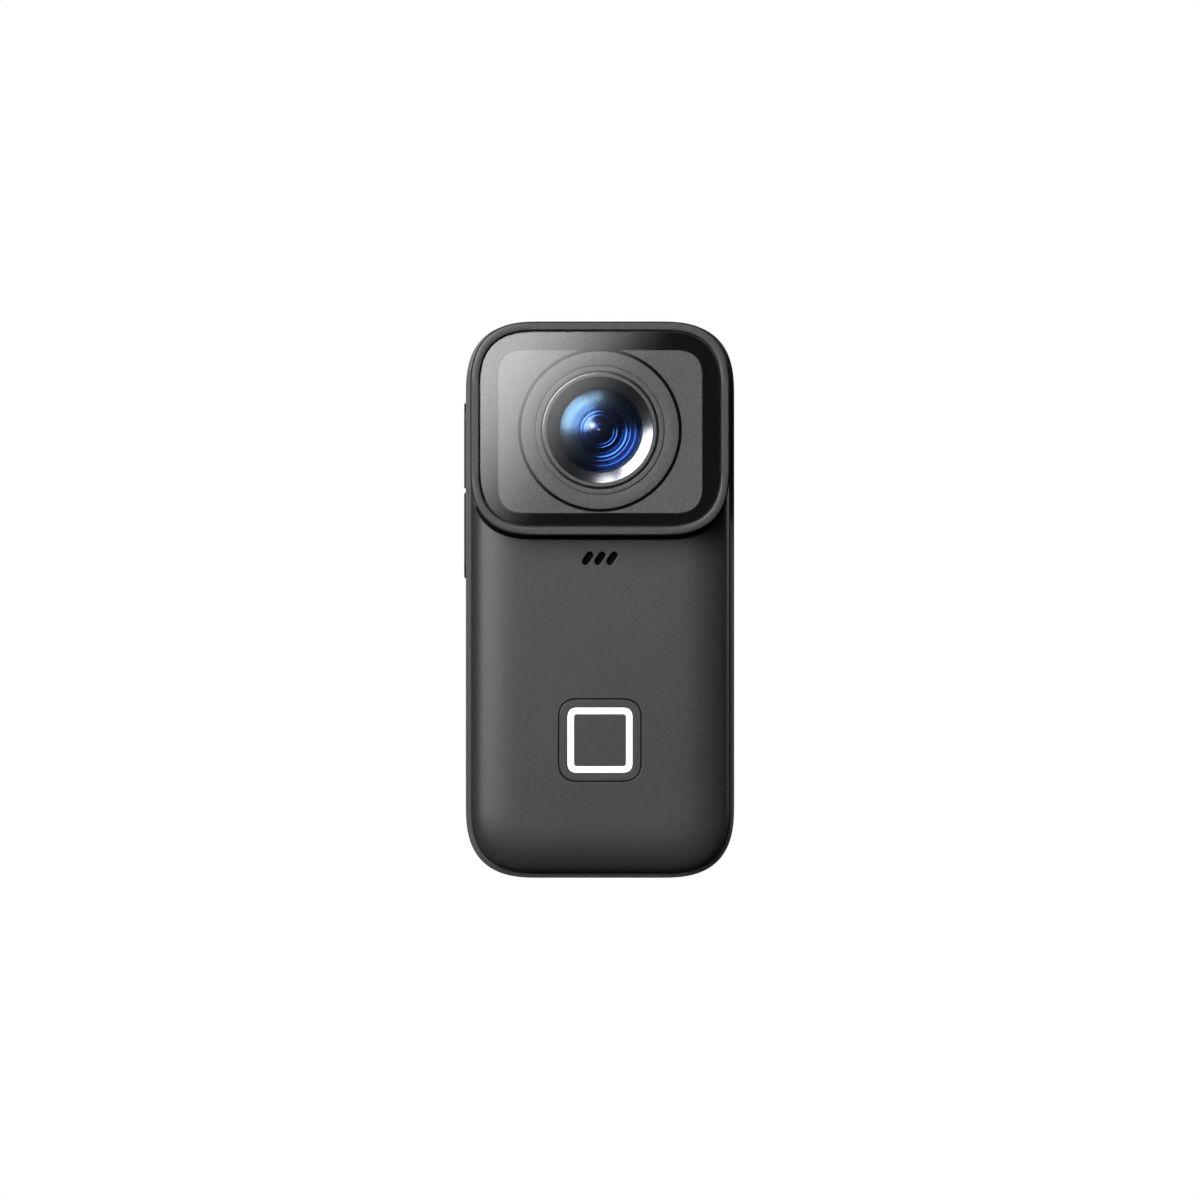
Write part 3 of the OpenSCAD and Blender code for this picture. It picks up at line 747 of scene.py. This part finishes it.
def back_cover():
    cover = cover_shape("back_shell", SPLIT_BACK, BACK_Y, reach=3.4, power=2.2)
    glass_low, glass_high = node_box("display_glass")
    size = glass_high - glass_low
    screen = swept(
        "screen_recess", size.x + 0.2, size.z + 0.2, 2.4,
        lip(0, BACK_Y, 0.1, -1) + [(0, glass_low.y)], z=(glass_low.z + glass_high.z) / 2, loop=False,
    )
    cut(cover, screen)
    light = node_centre("status_light_pipe")
    profile = lip_round(0.72, BACK_Y, 0.06, -1) + [(0.72, 7.0)]
    cut(cover, turned("light_hole", profile, light.x, light.z, False, 48))
    for x, z in screw_places():
        cut(cover, turned("head_hole", [(1.4, 10), (1.4, 7.62)], x, z, False, 48))
    dress(cover, SHELL, "camera", ["back_cover"])


def frame_ring():
    profile = rounded(
        [(0, SPLIT_BACK), (0, SPLIT_FRONT), (1.2, SPLIT_FRONT), (1.2, SPLIT_BACK)],
        [0.1, 0.1, 0.05, 0.05],
    )
    return swept("frame_ring", FRAME_W, FRAME_H, FRAME_CORNER, profile, z=BODY_Z)


def port_bay(ring):
    """The recess behind the door, with its sockets' openings and the fixed knuckles."""
    side = FRAME_HIGH.x
    join(ring, solid_block("bay", (side - 3.1, -4.7, 25.5), (side - 1.0, 3.0, 46.5)))
    join(ring, solid_block("hinge_wall", (side - 2.8, 2.9, 25.5), (side - 1.0, 5.4, 46.5)))
    opening = sideways(
        "door_opening", 12.2, DOOR_H + 0.2, 1.35,
        [(0, DOOR_X - 0.05), (0, side - 0.06), (-0.06, side + 0.002), (-0.06, side + 1)],
        1.4, DOOR_Z,
    )
    cut(opening, solid_block("hinge_side", (0, 3.1, 0), (20, 12, 60)))
    cut(ring, opening)
    cut(ring, sideways("pocket", 6.4, 15.0, 1.4, [(0, DOOR_X - 1.0), (0, DOOR_X + 0.2)], -0.9, DOOR_Z))
    usb = node_centre("usb_socket")
    cut(ring, sideways("usb_hole", 3.32, 9.06, 1.659, [(0, side - 4), (0, side - 2)], usb.y, usb.z, 2.0))
    card = node_centre("card_socket")
    cut(ring, sideways("card_hole", 1.0, 11.3, 0.3, [(0, side - 4), (0, side - 2)], 1.75, card.z, 2.0))
    hollow = solid_block("hollow", (side - 2.1, 3.0, DOOR_Z - 10), (side + 1, 5.25, DOOR_Z + 10))
    cut(ring, hollow)
    for end in (-1, 1):
        z0 = DOOR_Z + end * (KNUCKLE_HALF + 0.1)
        z1 = DOOR_Z + end * 10.2
        low, high = min(z0, z1), max(z0, z1)
        knuckle = upright("knuckle", [(KNUCKLE_R, low), (KNUCKLE_R, high)], HINGE_X, HINGE_Y, False)
        join(knuckle, solid_block("root", (side - 2.6, HINGE_Y - KNUCKLE_R, low), (HINGE_X, 5.35, high)))
        join(ring, knuckle)
    cut(ring, upright("pin_hole", [(0.42, DOOR_Z - 9.9), (0.42, DOOR_Z + 9.9)], HINGE_X, HINGE_Y, False))


def middle_frame():
    ring = frame_ring()
    insert_top = node_box("tripod_insert")[1].z
    boss = solid_block("boss", (-5.6, -4.6, 0.6), (5.6, 4.8, insert_top + 1.4))
    join(ring, boss)
    profile = [(4.32, -1), (4.32, 0.1), (4.2, 0.2), (4.2, insert_top)]
    cut(ring, upright("insert_hole", profile, 0, 0, False, 96))
    side = FRAME_LOW.x
    buttons_top = node_box("power_button")[1].z
    buttons_bottom = node_box("mode_button")[0].z
    centre_z = (buttons_top + buttons_bottom) / 2
    length = buttons_top - buttons_bottom - 0.8
    cut(ring, sideways(
        "button_slot", 3.9, length + 0.3, 1.949,
        [(-0.08, side - 1), (-0.08, side - 0.002), (0, side + 0.08), (0, side + 2)],
        0, centre_z, 2.0,
    ))
    for i in range(-2, 3):
        hole = [(0.4, 60), (0.4, FRAME_HIGH.z - 0.08), (0.48, FRAME_HIGH.z + 0.002), (0.48, 70)]
        cut(ring, upright("sound_hole", hole, i * 2, 3.3, False, 32))
    port_bay(ring)
    dress(ring, FRAME_PLASTIC, "camera", ["mid_frame"])


# ---------- lens block ----------

def lens_block():
    step = 0.13
    pocket_y = -10.55
    profile = rounded(
        [
            (0, SPLIT_FRONT - 0.05), (0, -11.85), (0.35, -11.85), (0.35, -12.22), (step, -12.22),
            (step, BLOCK_Y), (RIM_W + step, BLOCK_Y), (RIM_W + step, pocket_y), (2.4, pocket_y),
            (2.4, LEDGE_Y - 0.05), (1.25, LEDGE_Y - 0.05), (1.25, SPLIT_FRONT - 0.05),
        ],
        [0.05, 0.06, 0, 0, 0.02, 0.06, 0.06, 0.03, 0.03, 0, 0, 0.03],
    )
    bezel = swept("block_bezel", BLOCK_W, BLOCK_H, BLOCK_CORNER, profile, z=BLOCK_Z)
    cut(bezel, solid_block("below", (-20, LEDGE_Y, 0), (20, 0, 46.3)))
    dress(bezel, RIM, "camera", ["lens_bezel"])
    # A black ring just outside the rim stands in for the shadowed gap at the rim's foot: painted shade.
    band = swept(
        "bezel_shade_ring", BLOCK_W, BLOCK_H, BLOCK_CORNER,
        rounded([(0, -11.87), (0, -12.2), (0.34, -12.2), (0.34, -11.87)], 0.04), z=BLOCK_Z,
    )
    dress(band, RUBBER, "camera")


def block_gasket():
    """A black strip under the lens block, standing in for the block's shadow on the front cover: painted
    shade.
    """
    low, high = node_box("block_gasket")
    strip = swept(
        "block_shadow_strip", BLOCK_W - 0.02, BLOCK_H + 0.42, BLOCK_CORNER,
        [(0, high.y), (0, low.y + 0.12), (0.04, low.y + 0.03), (0.14, low.y)],
        z=BLOCK_Z - 0.21, loop=False,
    )
    inside = swept(
        "inside", BLOCK_W + 0.03, BLOCK_H + 0.03, BLOCK_CORNER,
        [(0, -20), (0, 0)], z=BLOCK_Z, loop=False,
    )
    cut(strip, inside, solid_block("above", (-20, -20, high.z), (20, 0, 80)))
    dress(strip, SHADE_BLACK, "camera", ["block_gasket"])


def clear_rear(pane):
    """The rear faces of a pane or lens carry no mirror coating."""
    pane.data.materials.append(CLEAR_BACK)
    for face in pane.data.polygons:
        if face.normal.y > -0.3:
            face.material_index = 1


def cover_glass():
    size = GLASS_HIGH - GLASS_LOW
    front = GLASS_LOW.y
    back = GLASS_HIGH.y
    centre_z = (GLASS_LOW.z + GLASS_HIGH.z) / 2
    profile = [(0.06, back), (0, back - 0.06)] + round_edge(front, 0.18, -1, steps=5, first=0)
    pane = swept("cover_pane", size.x, size.z, 6.83, profile, z=centre_z, loop=False)
    dress(pane, COVER_GLASS, "camera", ["cover_glass"])
    clear_rear(pane)


def glass_border():
    low, high = node_box("glass_border")
    border = swept(
        "window_border", high.x - low.x, high.z - low.z, 6.7,
        [(0, high.y), (0, low.y + 0.01)], z=(low.z + high.z) / 2, loop=False,
    )
    window = swept(
        "window", WINDOW_W, WINDOW_H, WINDOW_CORNER,
        [(0, low.y - 1), (0, low.y + 0.03), (0.12, high.y), (0.12, high.y + 1)],
        z=LENS_Z - 0.16, loop=False,
    )
    cut(border, window)
    dress(border, BORDER, "camera", ["glass_border"])


def faceplate():
    low, high = node_box("lens_faceplate")
    plate = swept(
        "faceplate", high.x - low.x, high.z - low.z, 6.7,
        [(0, high.y), (0, low.y)], z=(low.z + high.z) / 2, loop=False,
    )
    hole_r = 9.14
    profile = lip_round(hole_r, low.y, 0.05, 1) + [(hole_r, high.y + 1)]
    cut(plate, turned("face_hole", profile, loop=False, segments=240))
    dress(plate, FACEPLATE, "camera", ["lens_faceplate"])


def dress_ring():
    front = node_box("lens_dress_ring")[0].y
    corners = [
        (8.79, -9.95), (8.79, front), (7.28, front), (7.25, front + 0.2), (7.15, front + 0.2),
        (7.12, front), (6.6, front), (6.6, -9.95),
    ]
    radii = [0.02, 0.05, 0.015, 0, 0, 0.015, 0.04, 0.02]
    ring = turned("dress_ring", rounded(corners, radii), segments=240)
    dress(ring, FACEPLATE, "camera", ["lens_dress_ring"])
    # A black ring laid in the groove round the dress ring stands in for the groove's shadow: painted
    # shade.
    corners = [(9.5, -10.1), (9.5, -10.35), (8.6, -10.35), (8.6, -10.1)]
    groove_shade = turned("groove_shade_ring", rounded(corners, 0.04))
    dress(groove_shade, SHADE_BLACK, "camera")


def barrel():
    front = node_box("lens_barrel")[0].y
    corners = [
        (6.48, -7.9), (6.48, front), (5.95, front), (5.95, -9.3), (4.94, -9.3), (4.94, -7.9),
        (4.3, -7.9), (4.3, -1.7), (5.9, -1.7), (5.9, -7.9),
    ]
    tube = turned("barrel_rim", rounded(corners, [0, 0.16, 0.1, 0, 0, 0, 0, 0, 0, 0], 4), segments=240)
    dress(tube, FACEPLATE, "camera", ["lens_barrel"])
    tilted_band(8, 6.36, front - 0.02, 0.12, -19, POLISH)
    front = node_box("lens_retaining_ring")[0].y
    cone = [(4.75, -9.3), (4.75, -10.32), (5.89, front), (5.92, front + 0.04), (5.92, -9.3)]
    ring = turned("retaining_ring", rounded(cone, [0, 0.03, 0, 0, 0], 4), segments=240)
    dress(ring, RING_METAL, "camera", ["lens_retaining_ring"], angle=50)


def dome(name, reach, apex, radius, back, material, replaces=(), rings=24):
    """A convex lens: its front is a coated part of a sphere and its back is flat."""
    profile = [(0.0, apex)]
    for k in range(1, rings + 1):
        r = reach * k / rings
        profile.append((r, apex + radius - math.sqrt(radius ** 2 - r ** 2)))
    profile += [(reach, back), (0.0, back)]
    lens = turned(name, profile, loop=False, segments=144)
    dress(lens, material, "camera", replaces, angle=40)
    clear_rear(lens)


def tilted_band(number, r, y, width, tilt, material):
    """A thin polished ring whose face leans inward by tilt degrees (outward if negative)."""
    lean = math.tan(math.radians(tilt)) * width / 2
    profile = [(r + width / 2, y - lean), (r - width / 2, y + lean), (r, y + width + abs(lean))]
    band = turned(f"polished_band_{number}", profile, segments=180)
    dress(band, material, "camera", angle=30)


def funnel_y(r):
    t = (FUNNEL_R[0] - r) / (FUNNEL_R[0] - FUNNEL_R[1])
    return FUNNEL_Y[0] + (FUNNEL_Y[1] - FUNNEL_Y[0]) * t


def baffle():
    """The funnel behind the front lens, with three polished edges on it."""
    outer, inner = FUNNEL_R
    front, deep = FUNNEL_Y
    profile = [(outer, front), (inner, deep), (inner, deep + 0.3), (outer, deep + 0.3)]
    funnel = turned("lens_funnel", profile, segments=240)
    dress(funnel, SPUN, "camera")
    for number, (r, width) in enumerate([(2.95, 0.17), (3.38, 0.06), (3.98, 0.06)]):
        tilted_band(number + 1, r, funnel_y(r) - 0.1, width, 19, RIDGE)


def inner_optics():
    corners = [(1.98, -7.9), (1.98, -8.6), (1.56, -8.6), (1.5, -8.3), (1.5, -7.9)]
    ring = turned("inner_ring", rounded(corners, [0, 0.08, 0.06, 0, 0], 4), segments=144)
    dress(ring, SPUN, "camera", angle=50)
    bands = [
        (4, 1.9, -8.66, 0.13, 17), (5, 1.76, -8.66, 0.16, -17),
        (6, 1.56, -8.62, 0.07, 19), (9, 2.12, -8.55, 0.14, -17),
    ]
    for number, r, y, width, tilt in bands:
        tilted_band(number, r, y, width, tilt, RIDGE)
    dome(
        "second_lens", reach=1.5, apex=-8.45, radius=2.1, back=-7.8,
        material=INNER_COAT, replaces=["middle_lens"],
    )
    corners = [(1.5, -7.6), (1.2, -7.72), (0.95, -7.7), (0.85, -7.5), (1.5, -7.4)]
    pupil = turned("pupil_ring", rounded(corners, 0.05), segments=96)
    dress(pupil, SPUN, "camera", ["aperture_stop"], angle=50)
    tilted_band(7, 1.05, -7.78, 0.06, 19, RIDGE)
    floor = turned("pupil_floor", [(4.2, -7.1), (4.2, -6.95)], loop=False, segments=96)
    dress(floor, MOULDED, "camera")


# ---------- shutter key ----------

def shutter_key():
    y = FRONT_Y
    profile = [(0, KEY_HIGH.y - 0.8), (0, y + 0.07)] + round_edge(y, 0.07, -1)
    key = key_shape("key_cap", KEY_W, 2.1, profile)
    join(key, key_shape("key_flange", KEY_W + 1.3, 2.4, [(0, -7.15), (0, -6.75)]))
    channel = key_shape("channel", 7.58, 1.25, lip(0, y, 0.03, 1, points=2) + [(0, y + 0.7)])
    cut(channel, key_shape("core", 5.73, 0.34, [(0.03, y), (0, y + 0.03), (0, y + 2)]))
    cut(key, channel)
    dress(key, SHELL, "shutter", ["shutter_key"])
    low = node_box("shutter_light_ring")[0].y
    profile = [(0, low + 0.69), (0, low + 0.05), (0.05, low + 0.01)]
    ring = key_shape("light_ring", 7.26, 1.1, profile)
    cut(ring, key_shape("hole", 5.83, 0.36, [(0, low - 1), (0, low + 2)]))
    dress(ring, LIGHT, "shutter", ["shutter_light_ring"])


# ---------- side buttons and port door ----------

def side_button(node, body, sign):
    """A long button with a chamfered top, round at its outer end and square at the split."""
    low, high = node_box(node)
    inner = low.z if sign > 0 else high.z
    outer = high.z - 0.4 if sign > 0 else low.z + 0.4
    width = 3.6
    face = low.x
    length = 2 * abs(outer - inner)
    cap = sideways(
        node + "_cap", width, length, width / 2 - 0.001,
        [(0, face + 1.4), (0, face + 0.16), (0.03, face + 0.06), (0.14, face + 0.01), (0.3, face)],
        0, inner, 2.0, 20,
    )
    bottom, top = (0, inner) if sign > 0 else (inner, 70)
    cut(cap, solid_block("other_half", (-20, -5, bottom), (0, 5, top)))
    notch = solid_block("notch", (-0.2, -5, -0.2), (0.2, 5, 0.2))
    turn = math.cos(math.radians(45))
    for vertex in notch.data.vertices:
        x, z = vertex.co.x, vertex.co.z
        vertex.co.x = face * MM + (x + z) * turn
        vertex.co.z = inner * MM + (z - x) * turn
    cut(cap, notch)
    dress(cap, BUTTON, body, [node])


def port_door():
    side = FRAME_HIGH.x
    panel = sideways(
        "door_panel", 12, DOOR_H, 1.3,
        [(0, DOOR_X), (0, side - 0.1), (0.03, side - 0.03), (0.1, side)], 1.4, DOOR_Z,
    )
    cut(panel, solid_block("hinge_side", (0, 3.05, 0), (20, 12, 60)))
    arm = solid_block(
        "arm", (DOOR_X, 2.9, DOOR_Z - KNUCKLE_HALF), (side - 0.05, HINGE_Y, DOOR_Z + KNUCKLE_HALF),
    )
    join(panel, arm)
    tube = upright(
        "tube", [(KNUCKLE_R, DOOR_Z - KNUCKLE_HALF), (KNUCKLE_R, DOOR_Z + KNUCKLE_HALF)],
        HINGE_X, HINGE_Y, False, 64,
    )
    join(panel, tube)
    cut(panel, upright("bore", [(0.46, 20), (0.46, 60)], HINGE_X, HINGE_Y, False))
    cut(panel, solid_block("nail_notch", (side - 0.5, -5, DOOR_Z - 1.6), (side + 1, -4.0, DOOR_Z + 1.6)))
    dress(panel, FRAME_PLASTIC, "door", ["port_door"])
    seal = sideways(
        "door_seal", 6.0, 14.6, 1.3,
        [(0, DOOR_X), (0, DOOR_X - 0.3), (0.06, DOOR_X - 0.36), (0, DOOR_X - 0.42), (0, DOOR_X - 0.75),
         (0.1, DOOR_X - 0.85)],
        -0.9, DOOR_Z,
    )
    cut(seal, sideways("inside", 4.6, 13.2, 0.9, [(0, DOOR_X - 2), (0, DOOR_X - 0.15)], -0.9, DOOR_Z))
    dress(seal, RUBBER, "door", ["port_door_seal"])


# ---------- back and underside ----------

def rear_screen():
    low, high = node_box("display_glass")
    edge = 0.15
    profile = [(0, low.y), (0, high.y - edge)] + round_edge(high.y, edge, 1)
    pane = swept(
        "screen_pane", high.x - low.x, high.z - low.z, 2.3, profile, z=(low.z + high.z) / 2, loop=False,
    )
    dress(pane, SCREEN, "camera", ["display_glass"])


def case_screws():
    corners = [(0, 7.6), (0.7, 7.6), (0.7, 7.62), (1.25, 7.62), (1.25, 8.3), (0, 8.3)]
    profile = rounded(corners, [0, 0, 0, 0.03, 0.1, 0])
    for number, (x, z) in enumerate(screw_places()):
        head = turned(f"case_screw_{number + 1}", profile, x, z, False, 48)
        socket = turned("socket", [(0.62, 7.95), (0.62, 9)], x, z, False, 6)
        cut(head, socket)
        dress(head, SCREW, "camera", ["case_screws"] if number == 0 else ())


def tripod_insert():
    """A brass insert with a real 1/4 inch thread: pitch 1.27 mm."""
    low, high = node_box("tripod_insert")
    pitch = 1.27
    minor, major, outside = 2.6, 3.16, 4.2
    flank = 0.42                 # half the groove's width, as a share of the pitch
    run_in = 0.15                # height over which the groove grows to its full depth
    chamfer_h, chamfer_w = 0.3, 0.45
    around, rows = 72, 66
    points = []
    for k in range(rows + 1):
        z = low.z + (high.z - low.z) * k / rows
        up = z - low.z
        depth = (major - minor) * min(1.0, max(0.0, up / run_in))
        for i in range(around):
            t = 2 * math.pi * i / around
            phase = (z / pitch - i / around) % 1
            r = minor + depth * max(0.0, 1 - abs(phase - 0.5) / flank)
            if up < chamfer_h:
                r = max(r, minor + chamfer_w * (1 - up / chamfer_h))
            points.append((r * math.cos(t), r * math.sin(t), z))
    rings = [(outside, high.z), (outside, low.z + 0.12), (outside - 0.1, low.z + 0.01)]
    for r, z in rings:
        for i in range(around):
            t = 2 * math.pi * i / around
            points.append((r * math.cos(t), r * math.sin(t), z))
    insert = new_object("threaded_insert", points, grid_faces(rows + 1 + len(rings), around, True))
    dress(insert, BRASS, "camera", ["tripod_insert"])


def status_light():
    low, high = node_box("status_light_pipe")
    centre = (low + high) / 2
    top = high.y
    profile = [(0.68, low.y), (0.68, top - 0.08), (0.6, top - 0.02), (0.4, top), (0, top)]
    pipe = turned("status_light", profile, centre.x, centre.z, False, 48)
    dress(pipe, LIGHT_OFF, "camera", ["status_light_pipe"])


# The CAD nodes that stay, most of them inside, with their materials.
KEPT = {
    "rear_lens": INNER_COAT, "ir_filter": COVER_GLASS,
    "lens_holder": MOULDED, "image_sensor": SCREEN, "sensor_board": BOARD, "board_connector": MOULDED,
    "main_board": BOARD, "processor_shield": TIN, "heat_spreader": COPPER, "wireless_module": TIN,
    "battery_cell": FOIL, "battery_pad": RUBBER, "display_panel": SCREEN, "display_gasket": RUBBER,
    "shutter_guide": MOULDED, "shutter_switch": TIN, "switch_board": BOARD, "side_button_bracket": STEEL,
    "side_switches": TIN, "door_hinge_pin": STEEL, "usb_socket": TIN, "port_board": BOARD,
    "card_socket": TIN, "speaker": MOULDED, "microphone": TIN, "mic_mesh": RUBBER,
    "board_screws": STEEL, "front_seal": RUBBER, "back_seal": RUBBER,
}


def dress_kept_nodes():
    for node, material in KEPT.items():
        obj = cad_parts[node]
        obj.data.materials.clear()
        obj.data.materials.append(material)


# ---------- studio ----------

CENTRE = Vector((0, 0, BODY_Z * MM))
WHITE = (1, 1, 1, 1)
FILL_STRENGTH = 0.02         # light from all round, next to the softboxes


def aim(obj, place_at, target):
    obj.location = place_at
    obj.rotation_mode = "QUATERNION"
    obj.rotation_quaternion = (Vector(target) - Vector(place_at)).to_track_quat("-Z", "Y")


def card_object(name, width, height):
    """A flat card that lights the object but is never seen by the camera itself."""
    mesh = bpy.data.meshes.new(name)
    w, h = width / 2, height / 2
    mesh.from_pydata([(-w, -h, 0), (w, -h, 0), (w, h, 0), (-w, h, 0)], [], [(0, 1, 2, 3)])
    card = bpy.data.objects.new(name, mesh)
    bpy.context.scene.collection.objects.link(card)
    card.visible_camera = False
    card.visible_shadow = False
    return card


def emission(card, strength, share_source):
    """The card glows where share_source gives 1 and is see-through where it gives 0."""
    material, tree, output = new_material(card.name)
    glow = tree.nodes.new("ShaderNodeEmission")
    glow.inputs["Strength"].default_value = strength
    clear = tree.nodes.new("ShaderNodeBsdfTransparent")
    share = share_source(tree)
    link(tree, mix_shaders(tree, share, clear.outputs["BSDF"], glow.outputs["Emission"]),
         output.inputs["Surface"])
    card.data.materials.append(material)


def softbox(name, bearing, height, distance, size, strength, feather=0.3, is_round=False):
    """A square or round light, size and distance in metres, whose outer share feather fades.

    bearing is degrees round from the front, height is degrees up.
    """
    card = card_object(name, size, size)
    b, h = math.radians(bearing), math.radians(height)
    way = Vector((math.sin(b) * math.cos(h), -math.cos(b) * math.cos(h), math.sin(h)))
    aim(card, CENTRE + way * distance, CENTRE)

    def square(tree):
        split = tree.nodes.new("ShaderNodeSeparateXYZ")
        link(tree, place(tree), split.inputs["Vector"])
        fades = []
        for axis in ("X", "Y"):
            away = tree.nodes.new("ShaderNodeMath")
            away.operation = "ABSOLUTE"
            link(tree, split.outputs[axis], away.inputs[0])
            fades.append(remap(tree, away.outputs["Value"], size / 2 * (1 - feather), size / 2, 1, 0))
        product = tree.nodes.new("ShaderNodeMath")
        product.operation = "MULTIPLY"
        link(tree, fades[0], product.inputs[0])
        link(tree, fades[1], product.inputs[1])
        return product.outputs["Value"]

    def disc(tree):
        length = tree.nodes.new("ShaderNodeVectorMath")
        length.operation = "LENGTH"
        link(tree, place(tree), length.inputs[0])
        fade = remap(tree, length.outputs["Value"], size / 2 * (1 - feather), size / 2, 1, 0)
        fade.node.interpolation_type = "SMOOTHSTEP"
        return fade

    emission(card, strength, disc if is_round else square)


def glass_reflector():
    """A small card behind the camera; the cover glass mirrors it as a slanting fade."""
    card = card_object("glass_reflector", width=0.042, height=0.04)
    card.location = (0.0, -0.62, 0.0555)
    card.rotation_euler = (math.radians(90), 0, 0)
    down_right = (0.8, -0.6, 0)
    bright_end, dark_end = -0.0541, -0.0325

    def slant(tree):
        turned_place = tree.nodes.new("ShaderNodeMapping")
        turned_place.inputs["Location"].default_value = (card.location.x, card.location.z, 0)
        link(tree, place(tree), turned_place.inputs["Vector"])
        along = tree.nodes.new("ShaderNodeVectorMath")
        along.operation = "DOT_PRODUCT"
        along.inputs[1].default_value = down_right
        link(tree, turned_place.outputs["Vector"], along.inputs[0])
        fade = remap(tree, along.outputs["Value"], bright_end, dark_end, 1, 0)
        fade.node.interpolation_type = "SMOOTHSTEP"
        return fade

    emission(card, 6.0, slant)


def add_camera(scene):
    camera = bpy.data.objects.new("camera", bpy.data.cameras.new("camera"))
    scene.collection.objects.link(camera)
    scene.camera = camera
    camera.data.lens = 600
    camera.data.clip_end = 20
    camera.data.sensor_width = 36
    seen_width = 0.13412
    distance = seen_width * camera.data.lens / camera.data.sensor_width
    aim(camera, CENTRE + Vector((0, SPLIT_FRONT * MM - distance, 0)), CENTRE)


def add_floor(scene):
    """A white floor just under the object that neither lights nor darkens it."""
    reach, gap = 3, 0.0001
    mesh = bpy.data.meshes.new("floor")
    corners = [(-reach, -reach, 0), (reach, -reach, 0), (reach, reach, 0), (-reach, reach, 0)]
    mesh.from_pydata(corners, [], [(0, 1, 2, 3)])
    floor = bpy.data.objects.new("floor", mesh)
    floor.location.z = -gap
    scene.collection.objects.link(floor)
    material, tree, output = new_material("pale_floor")
    glow = tree.nodes.new("ShaderNodeEmission")
    link(tree, glow.outputs["Emission"], output.inputs["Surface"])
    mesh.materials.append(material)
    floor.visible_diffuse = False
    floor.visible_glossy = False
    floor.visible_shadow = False


def add_world(scene):
    """White behind the object, and a faint fill for everything else."""
    world = bpy.data.worlds.new("studio")
    world.use_nodes = True
    scene.world = world
    tree = world.node_tree
    tree.nodes.clear()
    output = tree.nodes.new("ShaderNodeOutputWorld")
    path = tree.nodes.new("ShaderNodeLightPath")
    seen = tree.nodes.new("ShaderNodeBackground")
    seen.inputs["Color"].default_value = WHITE
    fill = tree.nodes.new("ShaderNodeBackground")
    fill.inputs["Color"].default_value = WHITE
    fill.inputs["Strength"].default_value = FILL_STRENGTH
    mix = mix_shaders(
        tree, path.outputs["Is Camera Ray"], fill.outputs["Background"], seen.outputs["Background"],
    )
    link(tree, mix, output.inputs["Surface"])


def studio():
    scene = bpy.context.scene
    scene.view_settings.view_transform = "Standard"
    add_camera(scene)
    add_floor(scene)
    add_world(scene)
    softbox("key", -30, 22.5, distance=0.5, size=0.41, strength=5.8)
    softbox("ring_top", -7, 43, distance=0.5, size=0.15, strength=3.5, feather=0.6)
    softbox("lens_spark", -9.3, 8.7, 0.461, size=0.085, strength=14.0, feather=1.0, is_round=True)
    softbox("back_left", -145, 25, distance=0.5, size=0.3, strength=1.6)
    softbox("back_right", 132, 22, distance=0.5, size=0.36, strength=2.6)
    glass_reflector()


front_cover()
middle_frame()
back_cover()
lens_block()
block_gasket()
cover_glass()
glass_border()
faceplate()
dress_ring()
barrel()
dome(
    "front_element", reach=4.76, apex=-11.05, radius=10.7, back=-9.35,
    material=FRONT_COAT, replaces=["front_lens"], rings=40,
)
baffle()
inner_optics()
shutter_key()
side_button("power_button", "power", 1)
side_button("mode_button", "mode", -1)
port_door()
rear_screen()
case_screws()
tripod_insert()
status_light()
dress_kept_nodes()
studio()
